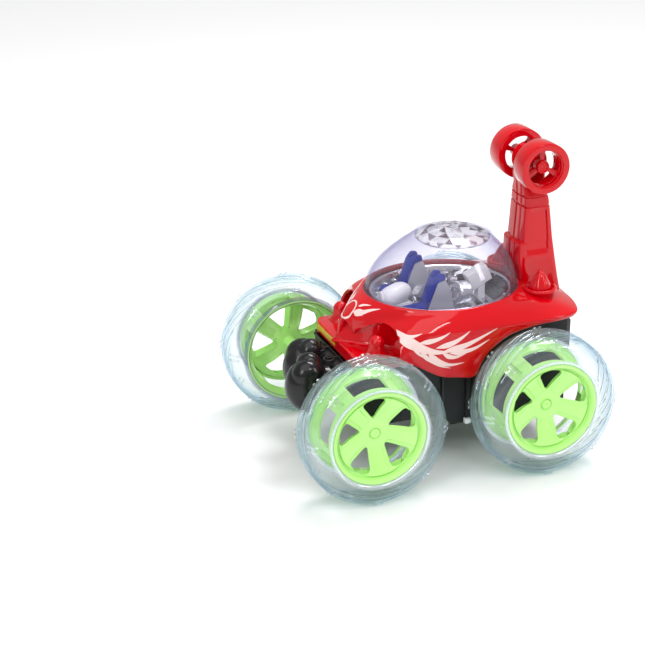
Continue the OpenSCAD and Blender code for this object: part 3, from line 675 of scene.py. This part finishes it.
# Licks of a plain flame pattern on the flank: points as (x, z) from base to tip, and half width
FLANK_LICKS = [
    ([(36, 104.5), (29, 101.5), (22, 97.5), (14, 93.5), (5, 91), (-6, 90.5)], 5.0),
    ([(20, 99.5), (11, 100), (3, 101.8), (-3, 104.6)], 2.3), ([(8, 94.5), (-3, 96), (-11, 99.2), (-18, 103.8)], 2.6),
    ([(2, 91.5), (-10, 92.5), (-22, 96), (-39, 103)], 3.0), ([(-2, 89.5), (-12, 89), (-22, 90.5), (-33, 95.5)], 2.5),
    ([(3, 90), (-3, 86.5), (-9, 86), (-18, 89)], 2.2), ([(14, 92.5), (9, 86.5), (3, 82.5), (-4, 80.2), (-14, 80.6)], 3.0),
    ([(20, 95), (15.5, 89), (10, 84.5), (4, 80.5), (-4, 77.6)], 2.0), ([(25, 98), (20.5, 92), (14, 87)], 1.6),
    ([(30, 102.8), (24, 103.6), (17, 105.6)], 1.5)]
# Licks on the hood, as (x, y)
HOOD_LICKS = [([(47.6, 6.6), (44.5, 12), (39.5, 17), (34.5, 22)], 1.6), ([(48.6, 6.2), (47.0, 10), (44.6, 14)], 1.0),
              ([(45.0, 6.4), (41.4, 10), (38.2, 14)], 1.0)]


def lick_rows(points, width, across=4):
    path = spline([(u, v, 0) for u, v in points], 12)
    last = len(path) - 1
    rows = []
    for k, p in enumerate(path):
        t = k / last
        d = path[min(k + 1, last)] - path[max(k - 1, 0)]
        side = np.array([-d[1], d[0], 0]) / np.linalg.norm(d)
        w = width * (1 - t) ** 0.8 * smoothstep(t / 0.3) ** 0.6 + 0.03
        rows.append([p + side * w * (2 * j / across - 1) for j in range(across + 1)])
    return rows


def lay(build, rows, tree, start, towards, lift):
    """Lays rows of points on the skin, each found by a ray from start(point) along towards."""
    verts, faces, index = [], [], {}
    cols = len(rows[0])
    for i, row in enumerate(rows):
        for j, p in enumerate(row):
            hit, normal, _, _ = tree.ray_cast(Vector(start(p)) * MM, towards)
            if hit is None:
                continue
            if normal.dot(towards) > 0:
                normal = -normal
            index[i, j] = len(verts)
            verts.append(hit / MM + normal * lift)
    for i in range(len(rows) - 1):
        for j in range(cols - 1):
            quad = [(i, j), (i, j + 1), (i + 1, j + 1), (i + 1, j)]
            if all(q in index for q in quad):
                faces.append(tuple(index[q] for q in quad))
    build.add(verts, faces)


def disc_rows(radius, centre, rings, n=40, inner=0.0):
    return [[np.array([centre[0] + r * math.cos(2 * math.pi * k / n), centre[1] + r * math.sin(2 * math.pi * k / n), 0])
             for k in range(n + 1)] for r in np.linspace(inner, radius, rings)]


def make_decals(skin):
    mesh = skin.data
    tree = BVHTree.FromPolygons([v.co for v in mesh.vertices], [p.vertices for p in mesh.polygons])
    down = Vector((0, 0, -1))
    for side, name in ((1, "left"), (-1, "right")):
        flames = Build()
        for k, (points, width) in enumerate(FLANK_LICKS):
            lay(flames, lick_rows(points, width), tree, lambda p: (p[0], 90 * side, p[1]), Vector((0, -side, 0)),
                0.10 + 0.015 * k)
        for k, (points, width) in enumerate(HOOD_LICKS):
            lay(flames, lick_rows(points, width), tree, lambda p: (p[0], side * p[1], 140), down, 0.10 + 0.015 * k)
        piece("flame_film_" + name, flames, DECAL, "root", [], [thicken(0.1, 0)])
    # the blank round badge on the hood: a white ring round a red disc
    badge = (49.4, 0)
    ring, plate = Build(), Build()
    lay(ring, disc_rows(5.6, badge, 4, inner=4.7), tree, lambda p: (p[0], p[1] * 1.15, 140), down, 0.22)
    lay(plate, disc_rows(4.6, badge, 6, inner=0.05), tree, lambda p: (p[0], p[1] * 1.15, 140), down, 0.14)
    piece("badge_ring", ring, DECAL, "root", [], [thicken(0.2, 0)], merge=0.001)
    piece("badge_plate", plate, RED, "root", [], [thicken(0.1, 0)], merge=0.001)
    strip = Build()
    strip.box((59.3, -35.5, 79.6), (59.75, -1.8, 84.2), Matrix.Identity(4))
    piece("yellow_strip", strip, YELLOW, "root", [], [bevel(0.15, 2, 50)])


# ---------------------------------------------------------------- tower and rollers

ROLLER_X, ROLLER_Z, ROLLER_R = -88.6, 203.7, 18.5

# Height, front face, rear face and half width of the tower
TOWER_LEVELS = [
    (101.5, -78.4, -112.0, 15.6), (116, -78.3, -109.0, 15.1), (130, -76.2, -106.6, 14.5), (143.6, -76.4, -104.4, 14.0),
    (144.6, -77.0, -104.2, 14.0), (145.2, -79.4, -104.1, 13.9), (158, -80.2, -102.5, 13.7), (170.6, -80.8, -100.9, 13.4),
    (171.0, -81.9, -100.4, 12.9), (171.9, -81.9, -100.3, 12.8), (172.3, -80.9, -100.7, 13.2), (177.8, -80.9, -99.8, 12.8),
    (178.2, -81.8, -99.3, 12.2), (179.1, -81.7, -99.1, 12.1), (179.5, -80.7, -99.4, 12.4), (182.5, -80.6, -99.0, 11.2),
    (186, -80.4, -98.6, 9.6), (190, -79.8, -98.2, 9.0), (196, -79.0, -98.2, 8.9)]


def tower_ring(z, front, rear, half):
    """A half of the tower in plan, from the seam in front round the side to the seam behind."""
    deep = front - rear
    panel = smoothstep((z - 136) / 1.5) * smoothstep((169.5 - z) / 1.5)
    low = smoothstep((z - 104) / 1.5) * smoothstep((132 - z) / 1.5)
    r = min(3.0, half * 0.3)
    ring = [(front - 0.35, 0.15), (front, 0.5), (front, 1.1), (front + 0.9, 1.4), (front + 0.9, 5.2), (front, 5.6)]
    ring += [(front - r + r * math.cos(a), half - r + r * math.sin(a))
             for a in (math.pi / 2 * k / 5 for k in range(6))]
    for share, drop in ((0.2, 0), (0.23, 1), (0.5, 1), (0.79, 1), (0.82, 0)):
        ring.append((front - deep * share, half - (1.1 * panel + 0.5 * low) * drop))
    ring += [(rear + r - r * math.sin(a), half - r + r * math.cos(a)) for a in (math.pi / 2 * k / 5 for k in range(6))]
    ring += [(rear, 0.5), (rear + 0.35, 0.15)]
    return [(x, y, z) for x, y in ring]


def tower_half(side):
    levels = []
    for a, b in zip(TOWER_LEVELS, TOWER_LEVELS[1:]):
        parts = max(1, round((b[0] - a[0]) / 1.6))
        levels += [tuple(lerp(p, q, k / parts) for p, q in zip(a, b)) for k in range(parts)]
    radius = 10.6
    for k in range(15):
        a = math.radians(lerp(-38, 84, k / 14))
        z = ROLLER_Z + radius * math.sin(a)
        w = radius * math.cos(a)
        levels.append((z, ROLLER_X + w, ROLLER_X - w, 8.9 - 1.2 * smoothstep((k - 11) / 4)))
    b = Build().rows([tower_ring(*level) for level in levels], wrap_cols=True, caps=True)
    if side < 0:
        b.verts = [(x, -y, z) for x, y, z in b.verts]
    return b


def roller_build(turn):
    """A tail roller with its axis along Y, the outer face at +Y."""
    b = Build()
    w = 14.7
    b.lathe([(13.0, 0.0), (ROLLER_R, 0.0), (ROLLER_R, w), (13.8, w), (13.8, w - 1.2), (12.9, w - 1.2),
             (12.9, w - 4.6), (12.5, w - 4.6), (12.5, 2.4), (13.0, 2.4)], 128, axis="y")
    b.lathe([(0.05, 10.0), (1.2, 10.0), (1.5, 10.5), (2.5, 10.5), (2.8, 10.1), (3.3, 10.1), (3.6, 10.9), (4.4, 10.8),
             (4.8, 10.0), (4.8, -2.6), (1.7, -2.6), (1.7, 9.0)], 48, axis="y")
    for k in range(3):
        spin = Matrix.Rotation(-math.radians(turn + 60 + 120 * k), 4, "Y")
        rows = []
        for x, half, y0, y1 in ((4.0, 1.3, 2.2, 8.8), (8.0, 1.5, 3.0, 8.4), (11.5, 2.1, 2.6, 8.8), (13.0, 3.0, 2.2, 9.2)):
            rows.append([spin @ Vector(v) for v in ((x, y0, -half), (x, y0, half), (x, y1, half), (x, y1, -half))])
        b.rows(rows, wrap_cols=True, caps=True)
    return b


def make_tower():
    for side, name in ((1, "left"), (-1, "right")):
        piece("tower_half_" + name, tower_half(side), RED, "root", ["tower_" + name],
              [bevel(0.25, 2, 45)], angle=38)
    for side, name, turn in ((1, "left", 30), (-1, "right", 85)):
        place = Matrix.Translation((ROLLER_X * MM, side * 12 * MM, ROLLER_Z * MM)) @ flipped(side)
        piece("tail_wheel_" + name, roller_build(turn), RED, "tail_roller_" + name, ["roller_" + name],
              [bevel(0.35, 2, 50)], angle=30, move=place)
    for side, name in ((1, "left"), (-1, "right")):
        cup, cone = Build(), Build()
        centre = (-86, side * 30, 0)
        cup.lathe([(7.0, 101.5), (8.4, 102.2), (9.2, 106.5), (9.6, 107), (9.6, 108), (10.0, 108.6), (11.0, 114.2),
                   (11.9, 114.8), (12.1, 115.8), (11.9, 116.8), (11.2, 117.2), (10.2, 117.0), (9.9, 115.8), (9.3, 115.2),
                   (8.6, 115.1), (8.3, 114.2), (6.0, 104.0)], 72, centre)
        flutes = 10
        rows = []
        for r, z in ((8.2, 114.6), (8.1, 116.4), (7.6, 118.4), (6.4, 121.0), (5.0, 123.6), (3.6, 126.0), (2.5, 127.2),
                     (2.2, 127.6), (1.9, 128.6), (1.0, 129.2), (0.3, 129.3)):
            row = []
            for k in range(80):
                a = 2 * math.pi * k / 80
                wave = 0.5 + 0.5 * math.cos(flutes * a)
                rr = r * (1 - 0.055 * wave ** 3 * smoothstep((r - 3.4) / 2.0))
                row.append((centre[0] + rr * math.cos(a), centre[1] + rr * math.sin(a), z))
            rows.append(row)
        cone.rows(rows, wrap_cols=True, caps=True)
        piece("tail_cup_" + name, cup, RED, "root", [], angle=50)
        piece("tail_cone_" + name, cone, RED, "root", ["tail_lamp_" + name], angle=45)
        bullet = Build()
        bullet.lathe([(0.1, 84), (9.0, 84), (9.0, 85.6), (7.9, 86.2), (6.9, 87.4), (6.2, 89.4), (5.8, 91.8), (5.6, 93.4)]
                     + [(5.6 * math.cos(a), 93.4 + 6.1 * math.sin(a)) for a in
                        (math.pi / 2 * k / 8 for k in range(1, 8))] + [(0.1, 99.5)], 64, (42.3, side * 34.1, 0),
                     closed=False)
        piece("bullet_lamp_" + name, bullet, RED, "root", ["nose_lamp_" + name], angle=40)


# ---------------------------------------------------------------- dome and cockpit

LENS_X, LENS_Z, LENS_R = -29.7, 153.0, 29.0


def dome_ring(t, inset, n=96):
    f = 1 - t ** 2.1
    cx = lerp(LENS_X, DOME_X, f)
    a, b = lerp(LENS_R, DOME_A, f) - inset, lerp(LENS_R, DOME_B, f) - inset
    return [(cx + a * math.cos(2 * math.pi * k / n), b * math.sin(2 * math.pi * k / n), lerp(DOME_Z, LENS_Z, t))
            for k in range(n)]


def circle_ring(r, z, n=96, x=LENS_X, turn=0.0):
    return [(x + r * math.cos(2 * math.pi * (k + turn) / n), r * math.sin(2 * math.pi * (k + turn) / n), z)
            for k in range(n)]


def dome_build():
    steps = 26
    ts = [k / steps for k in range(steps)] + [0.985]
    rows = [[(x, y, DOME_Z + 0.2) for x, y, _ in dome_ring(0, -1.6)], [(x, y, DOME_Z + 1.0) for x, y, _ in dome_ring(0, -1.4)]]
    rows += [[(x, y, z + 1.0 * (t == 0)) for x, y, z in dome_ring(t, 0)] for t in ts]
    rows += [circle_ring(29.0, 153.0), circle_ring(28.9, 154.0), circle_ring(28.3, 154.5), circle_ring(27.6, 154.3),
             circle_ring(27.3, 153.4), circle_ring(27.3, 152.4)]
    rows += [dome_ring(t, 1.3) for t in reversed(ts)]
    return Build().rows(rows, wrap_rows=True, wrap_cols=True)


def lens_build():
    """The crown: rings of kite facets round a flat star, hollow underneath."""
    rings = [(27.2, 153.2, 24, 0), (24.4, 155.2, 24, 0.5), (19.0, 157.4, 12, 0), (12.6, 158.8, 12, 0.5), (6.4, 160.4, 6, 0),
             (3.2, 160.0, 6, 0.5)]
    verts, faces, rows = [], [], []
    for r, z, n, turn in rings:
        rows.append(range(len(verts), len(verts) + n))
        verts += circle_ring(r, z, n, turn=turn)
    for low, high in zip(rows, rows[1:]):
        n, m = len(low), len(high)
        if n == m:
            shift = 0
            for k in range(n):
                faces += [(low[k], low[(k + 1) % n], high[(k + shift) % m]),
                          (low[(k + 1) % n], high[(k + 1) % m], high[k])]
        else:
            for k in range(m):
                a, b, c = low[(2 * k) % n], low[(2 * k + 1) % n], low[(2 * k + 2) % n]
                faces += [(a, b, high[k]), (b, high[(k + 1) % m], high[k]), (b, c, high[(k + 1) % m])]
    faces.append(tuple(rows[-1]))
    return Build().add(verts, faces)


def ellipsoid(b, centre, radii, n=24, m=14, place=None):
    rows = []
    for i in range(m + 1):
        t = math.pi * (i + 0.02) / (m + 0.04)
        row = []
        for k in range(n):
            a = 2 * math.pi * k / n
            v = Vector((centre[0] + radii[0] * math.sin(t) * math.cos(a), centre[1] + radii[1] * math.sin(t) * math.sin(a),
                        centre[2] + radii[2] * math.cos(t)))
            row.append(place @ v if place else v)
        rows.append(row)
    return b.rows(rows, wrap_cols=True, caps=True)


def make_dome():
    piece("clear_dome", dome_build(), DOME, "root", ["dome"], angle=50)
    crown = piece("faceted_crown", lens_build(), [FACET_CLEAR, FACET_PAINTED_GLINT, FACET_PAINTED_SHADE], "root", ["dome_lens"],
                  [thicken(1.4)], angle=3)
    # each facet takes the clear, the painted glint or the painted shade copy of the lens material in a fixed scatter
    for k, poly in enumerate(crown.data.polygons):
        poly.material_index = (0, 1, 2, 0, 1, 0, 1, 1, 2, 0, 1)[(k * 7) % 11]


def oval_ring(a, b, z, n=96):
    return [(DOME_X + a * math.cos(2 * math.pi * k / n), b * math.sin(2 * math.pi * k / n), z) for k in range(n)]


def make_cockpit():
    tub = Build()
    tub.rows([oval_ring(51.5, 43, 99.2), oval_ring(52.8, 44.3, 101.0), oval_ring(53.0, 44.5, 112.0),
              oval_ring(53.0, 44.5, 114.6), oval_ring(51.8, 43.3, 115.0), oval_ring(50.4, 41.9, 114.4),
              oval_ring(49.4, 40.9, 111.0), oval_ring(48.0, 39.5, 104.0), oval_ring(46.0, 37.5, 101.6),
              oval_ring(20, 14, 101.2)], wrap_cols=True, caps=True)
    # ribs across the floor, steps round the wall
    for k in range(9):
        x = -60 + 9.5 * k
        half = 37 * math.sqrt(max(0.0, 1 - ((x - DOME_X) / 47) ** 2))
        tub.box((x, -half, 101.0), (x + 2.6, half, 103.4 + 0.8 * (k % 2)))
    for k in range(28):
        a = 2 * math.pi * k / 28
        spin = Matrix.Translation((DOME_X + 47.6 * math.cos(a), 39.2 * math.sin(a), 0)) @ Matrix.Rotation(a, 4, "Z")
        tub.box((-1.4, -1.5, 102), (1.4, 1.5, 110.5), spin)
    piece("foil_tub", tub, FOIL, "root", ["cockpit_tub"], [bevel(0.5, 2, 35)])
    for side, name in ((1, "left"), (-1, "right")):
        y0, y1 = side * 20.5 - 5.8, side * 20.5 + 5.8
        seat = Build().prism([(-7.4, 128.6), (-13.4, 130.6), (-17.0, 124), (-22, 101.5), (16, 101.5), (16, 107.4),
                              (0.0, 108.6)], y0, y1)
        seat.box((-19.5, y0 + 1.4, 104), (-18.0, y1 - 1.4, 120), Matrix.Identity(4))
        piece("seat_shell_" + name, seat, SEAT_GREY, "root", ["seat_" + name], [bevel(0.6, 3, 30)])
    pads = Build()
    for side in (1, -1):
        y0, y1 = side * 20.5 - 5.9, side * 20.5 + 5.9
        pads.prism([(-7.4, 128.8), (-13.6, 130.6), (-13.0, 132.2), (-10.6, 132.6), (-5.2, 131.0), (1.6, 111.6), (16.6, 110.4),
                    (16.6, 107.4), (0.2, 108.7)], y0, y1)
        for a, b in ((y0, y0 + 3.6), (y1 - 3.6, y1)):
            pads.prism([(-13.4, 131.2), (-12.8, 134.4), (-8.6, 134.8), (-5.6, 131.4)], a, b)
    piece("blue_pads", pads, BLUE, "root", ["seat_pads"], [bevel(0.6, 3, 30)])
    bolster = Build()
    tilt = Matrix.Translation((12, -4, 112.5)) @ Matrix.Rotation(math.radians(20), 4, "Z") @ Matrix.Rotation(math.radians(8), 4, "Y")
    rows = []
    for k in range(25):
        t = -1 + 2 * k / 24
        x = 12.5 * math.sin(math.pi / 2 * t)
        r = 7.4 * max(0.02, 1 - abs(math.sin(math.pi / 2 * t)) ** 3.2) ** 0.5
        rows.append([tilt @ Vector((x, r * math.cos(a) * 1.15, r * math.sin(a) * 0.9))
                     for a in (2 * math.pi * j / 40 for j in range(40))])
    bolster.rows(rows, wrap_cols=True, caps=True)
    bolster.lathe([(4.6, 0), (5.6, 0.3), (5.8, 1.2), (5.2, 1.8), (4.4, 1.4)], 40, (23.6, -1.0, 111), axis="x")
    bolster.box((2, -9, 101), (20, 3, 107))
    piece("console_bolster", bolster, WHITE, "root", ["console"], [bevel(0.3, 2, 50)])
    wheel = Build()
    tip = Matrix.Translation((-1.5, 1, 107)) @ Matrix.Rotation(math.radians(120), 4, "Y")
    wheel.rows([[tip @ Vector(((4.2 + 0.8 * math.cos(b)) * math.cos(a), (4.2 + 0.8 * math.cos(b)) * math.sin(a), 0.8 * math.sin(b)))
                 for b in (2 * math.pi * j / 12 for j in range(12))] for a in (2 * math.pi * k / 40 for k in range(40))],
               wrap_rows=True, wrap_cols=True)
    for k in range(3):
        a = 2 * math.pi * k / 3
        wheel.tube([tip @ Vector((0, 0, 0)), tip @ Vector((4.0 * math.cos(a), 4.0 * math.sin(a), 0))], 0.5)
    wheel.tube([tip @ Vector((0, 0, -0.6)), tip @ Vector((0, 0, 9))], 0.8)
    wheel.tube([(10, -7, 113), (8.5, -3.5, 109), (6, 0, 104)], 0.6)
    piece("steering", wheel, FOIL, "root", ["steering_wheel"], angle=40)
    filt = Build()
    turn = Matrix.Translation((-31, 11, 113)) @ Matrix.Rotation(math.radians(32), 4, "Z") @ Matrix.Rotation(math.radians(78), 4, "Y")
    profile = [(0.1, -6)] + [((8.4 if i % 2 else 7.3), -6 + 0.62 * i) for i in range(20)] + [(6.4, 6.4), (4.6, 6.9), (4.2, 6.0), (0.1, 6.0)]
    rows = [[turn @ Vector((r * math.cos(a), r * math.sin(a), h)) for a in (2 * math.pi * k / 56 for k in range(56))]
            for r, h in profile]
    filt.rows(rows, wrap_cols=True, caps=True)
    filt.box((-29, 8, 119), (-23.5, 12, 125.4), Matrix.Identity(4))
    piece("ribbed_filter", filt, FOIL, "root", ["air_filter"], [bevel(0.25, 2, 40)], angle=25)
    block = Build()
    block.prism([(-45.6, 109), (-40, 121), (-56, 128), (-61, 117)], -5, 4)
    block.prism([(-50, 101.6), (-50, 112), (-56, 114), (-56, 101.6)], -3.5, 2.5)
    piece("white_lamp_block", block, WHITE, "root", ["led_module"], [bevel(0.8, 3, 30)])
    engine = Build()
    engine.box((-69, -13, 101.5), (-60.5, 15, 112), Matrix.Identity(4))
    engine.box((-41, -18, 101.5), (-29, -4, 107), Matrix.Identity(4))
    for k in range(5):
        engine.box((-68.4, -11 + 5 * k, 112), (-61.2, -8.4 + 5 * k, 115.2), Matrix.Identity(4))
    for y in (-15, -11, -7):
        engine.tube([(-35, y, 106), (-35, y - 1, 111), (-40, y - 1.5, 114.5), (-47, y - 2, 113.5)], 1.5)
    piece("engine", engine, DARK_GREY, "root", ["engine_block"], [bevel(0.4, 2, 40)])


# ---------------------------------------------------------------- front bumper and chassis

def glove_build():
    b = Build()
    for centre, radii in (((87, 15.2, 61), (16.4, 13.8, 19.5)), ((85.5, 15.4, 53), (13.6, 12.0, 12.4)),
                          ((88.0, 18.6, 70.0), (12.0, 9.6, 11.6)), ((84.4, 11.4, 74.2), (9.4, 8.4, 9.6)),
                          ((78, 15, 62), (8, 12.4, 13))):
        ellipsoid(b, centre, radii, 40, 24)
    return b


def make_bumper():
    for side, name, back in ((1, "left", 0.0), (-1, "right", 9.5)):
        place = Matrix.Translation((-back * MM, 0, 0)) @ flipped(side)
        piece("boxing_glove_" + name, glove_build(), GLOVE, "root", ["glove_" + name],
              [remesh(0.55, 9)], angle=180, move=place)
        cuff = Build()
        cuff.lathe([(2, 69.5), (10.6, 69.5), (11.6, 70.3), (11.9, 71.5), (11.6, 75.5 - back * 0.3), (12.6, 76.2 - back * 0.3),
                    (12.9, 77.2 - back * 0.3), (12.3, 78.4 - back * 0.3), (2, 78.4 - back * 0.3)], 64, (0, side * 15, 62), axis="x")
        piece("glove_cuff_" + name, cuff, GLOVE, "root", [], angle=45)
    bracket = Build()
    bracket.prism([(57, 66.5), (67, 66.5), (68.4, 68), (68.4, 73), (66.8, 74.6), (57, 75.4)], -20.5, 20.5)
    bracket.prism([(65.6, 60), (73, 60), (74, 61.4), (74, 69), (72.6, 70.2), (65.6, 70.2)], -18.5, 18.5)
    for y in (-9.5, 9.5):
        bracket.lathe([(0.1, 64), (5.2, 64), (5.2, 73.4), (4.6, 74.4), (4.6, 76.0), (4.2, 76.5), (0.1, 76.5)], 48,
                      (68.5, y, 0), closed=False)
        bracket.box((58, y - 1, 72), (66, y + 1, 77), Matrix.Identity(4))
    bracket.box((57.2, -36, 73.2), (61.0, 36, 76.6), Matrix.Identity(4))
    for y in (-24, 24):
        bracket.prism([(57, 60), (63, 66), (63, 75), (57, 75)], y - 1.2, y + 1.2)
    piece("bumper_bracket", bracket, BLACK, "root", ["front_bracket"], [bevel(0.5, 2, 35)], angle=40)


def make_chassis():
    ribs = Build()
    for side in (1, -1):
        for x, z0, z1 in ((-4, 38, 72), (-23, 29, 69)):
            y = side * 46.4
            ribs.box((x - 1.4, min(y, y + side * 1.6), z0), (x + 1.4, max(y, y + side * 1.6), z1), Matrix.Identity(4))
        y = side * 46.3
        ribs.box((-33, min(y, y + side * 2.2), 29), (-27, max(y, y + side * 2.2), 66), Matrix.Identity(4))
        ribs.box((8, min(y, y + side * 1.4), 39), (40, max(y, y + side * 1.4), 46), Matrix.Identity(4))
    piece("chassis_ribs", ribs, BLACK, "root", [], [bevel(0.4, 2, 40)])
    rear = Build()
    for y0, y1 in ((-45, -15.6), (-15, 15), (15.6, 45)):
        rear.prism([(-101.2, 58), (-104.6, 62), (-104.6, 94), (-102.6, 96.6), (-96, 96.6), (-96, 58)], y0, y1)
    piece("rear_panels", rear, DARK_GREY, "root", [], [bevel(0.8, 3, 40)])
    tab = Build().box((-25, 46.2, 27.4), (-20.6, 50.2, 31.2), Matrix.Identity(4))
    piece("catch_tab", tab, WHITE, "root", [], [bevel(0.5, 2, 40)])
    arms = Build()
    for x in (65, -65):
        for side in (1, -1):
            arms.lathe([(5.0, 45), (9.0, 45), (9.0, 50.2), (8.6, 50.8), (8.4, 54.4), (8.0, 54.9), (5.0, 54.9)], 56,
                       (x, 0, 52), axis="y")
            if side < 0:
                n = 7 * 56
                arms.verts[-n:] = [(vx, -vy, vz) for vx, vy, vz in arms.verts[-n:]]
    piece("axle_housings", arms, BLACK, "root", [], [bevel(0.3, 2, 40)])


def paint_nodes():
    for part in frame["record"]["subparts"]:
        mats = NODES[part["node"]].data.materials
        mats.clear()
        mats.append(SLOTS[part["material_slot"]])


# ---------------------------------------------------------------- stage, light, camera

def add_light(name, place, target, size, power, colour=(1, 1, 1)):
    light = bpy.data.lights.new(name, "AREA")
    light.shape = "RECTANGLE"
    light.size, light.size_y = size
    light.energy = power
    light.color = colour
    obj = bpy.data.objects.new(name, light)
    bpy.context.scene.collection.objects.link(obj)
    obj.location = place
    obj.rotation_euler = (Vector(target) - Vector(place)).to_track_quat("-Z", "Y").to_euler()


def make_camera():
    azimuth, elevation = math.radians(20.955), math.radians(22.713)
    towards = Vector((math.cos(elevation) * math.sin(azimuth), math.cos(elevation) * math.cos(azimuth),
                      math.sin(elevation)))
    cam = bpy.data.cameras.new("camera")
    cam.sensor_width, cam.lens = 36, 108.7
    obj = bpy.data.objects.new("camera", cam)
    bpy.context.scene.collection.objects.link(obj)
    obj.location = (0.5248, 1.1885, 0.6329)
    obj.rotation_euler = (-towards).to_track_quat("-Z", "Y").to_euler()
    bpy.context.scene.camera = obj


def make_stage():
    half = 6.0
    mesh = bpy.data.meshes.new("floor")
    mesh.from_pydata([(-half, -half, 0), (half, -half, 0), (half, half, 0), (-half, half, 0)], [], [(0, 1, 2, 3)])
    floor = bpy.data.objects.new("floor", mesh)
    bpy.context.scene.collection.objects.link(floor)
    m, nt, b = new_material("floor_white")
    c = ramp(nt, noise(nt, 3, 2).outputs["Fac"], [(0.0, (0.93, 0.93, 0.94)), (1.0, (0.95, 0.95, 0.955))])
    nt.links.new(c.outputs["Color"], b.inputs["Base Color"])
    b.inputs["Roughness"].default_value = 0.85
    b.inputs["Specular IOR Level"].default_value = 0.1
    floor.data.materials.append(m)
    world = bpy.data.worlds.new("studio")
    bpy.context.scene.world = world
    world.use_nodes = True
    back = world.node_tree.nodes["Background"]
    back.inputs["Color"].default_value = (1.0, 1.0, 1.0, 1)
    back.inputs["Strength"].default_value = 0.5
    sun = bpy.data.lights.new("sky", "SUN")
    sun.energy, sun.angle = 1.05, math.radians(60)
    sky = bpy.data.objects.new("sky", sun)
    bpy.context.scene.collection.objects.link(sky)
    sky.rotation_euler = Vector((-0.25, -0.3, -1)).to_track_quat("-Z", "Y").to_euler()
    add_light("softbox_left", (1.1, 0.9, 0.9), (0, 0, 0.08), (0.3, 0.6), 5)
    add_light("softbox_right", (-1.1, 1.0, 0.9), (0, 0, 0.1), (0.2, 0.7), 4)
    add_light("softbox_top", (-0.43, -0.3, 1.2), (0, 0.0, 0.1), (0.6, 0.25), 8)
    add_light("softbox_front", (-0.3, 1.1, 1.3), (0, 0.0, 0.1), (0.4, 0.15), 3)
    bpy.context.scene.view_settings.view_transform = "Standard"


make_camera()
make_stage()
paint_nodes()
make_wheels()
make_body()
make_tower()
make_dome()
make_cockpit()
make_bumper()
make_chassis()
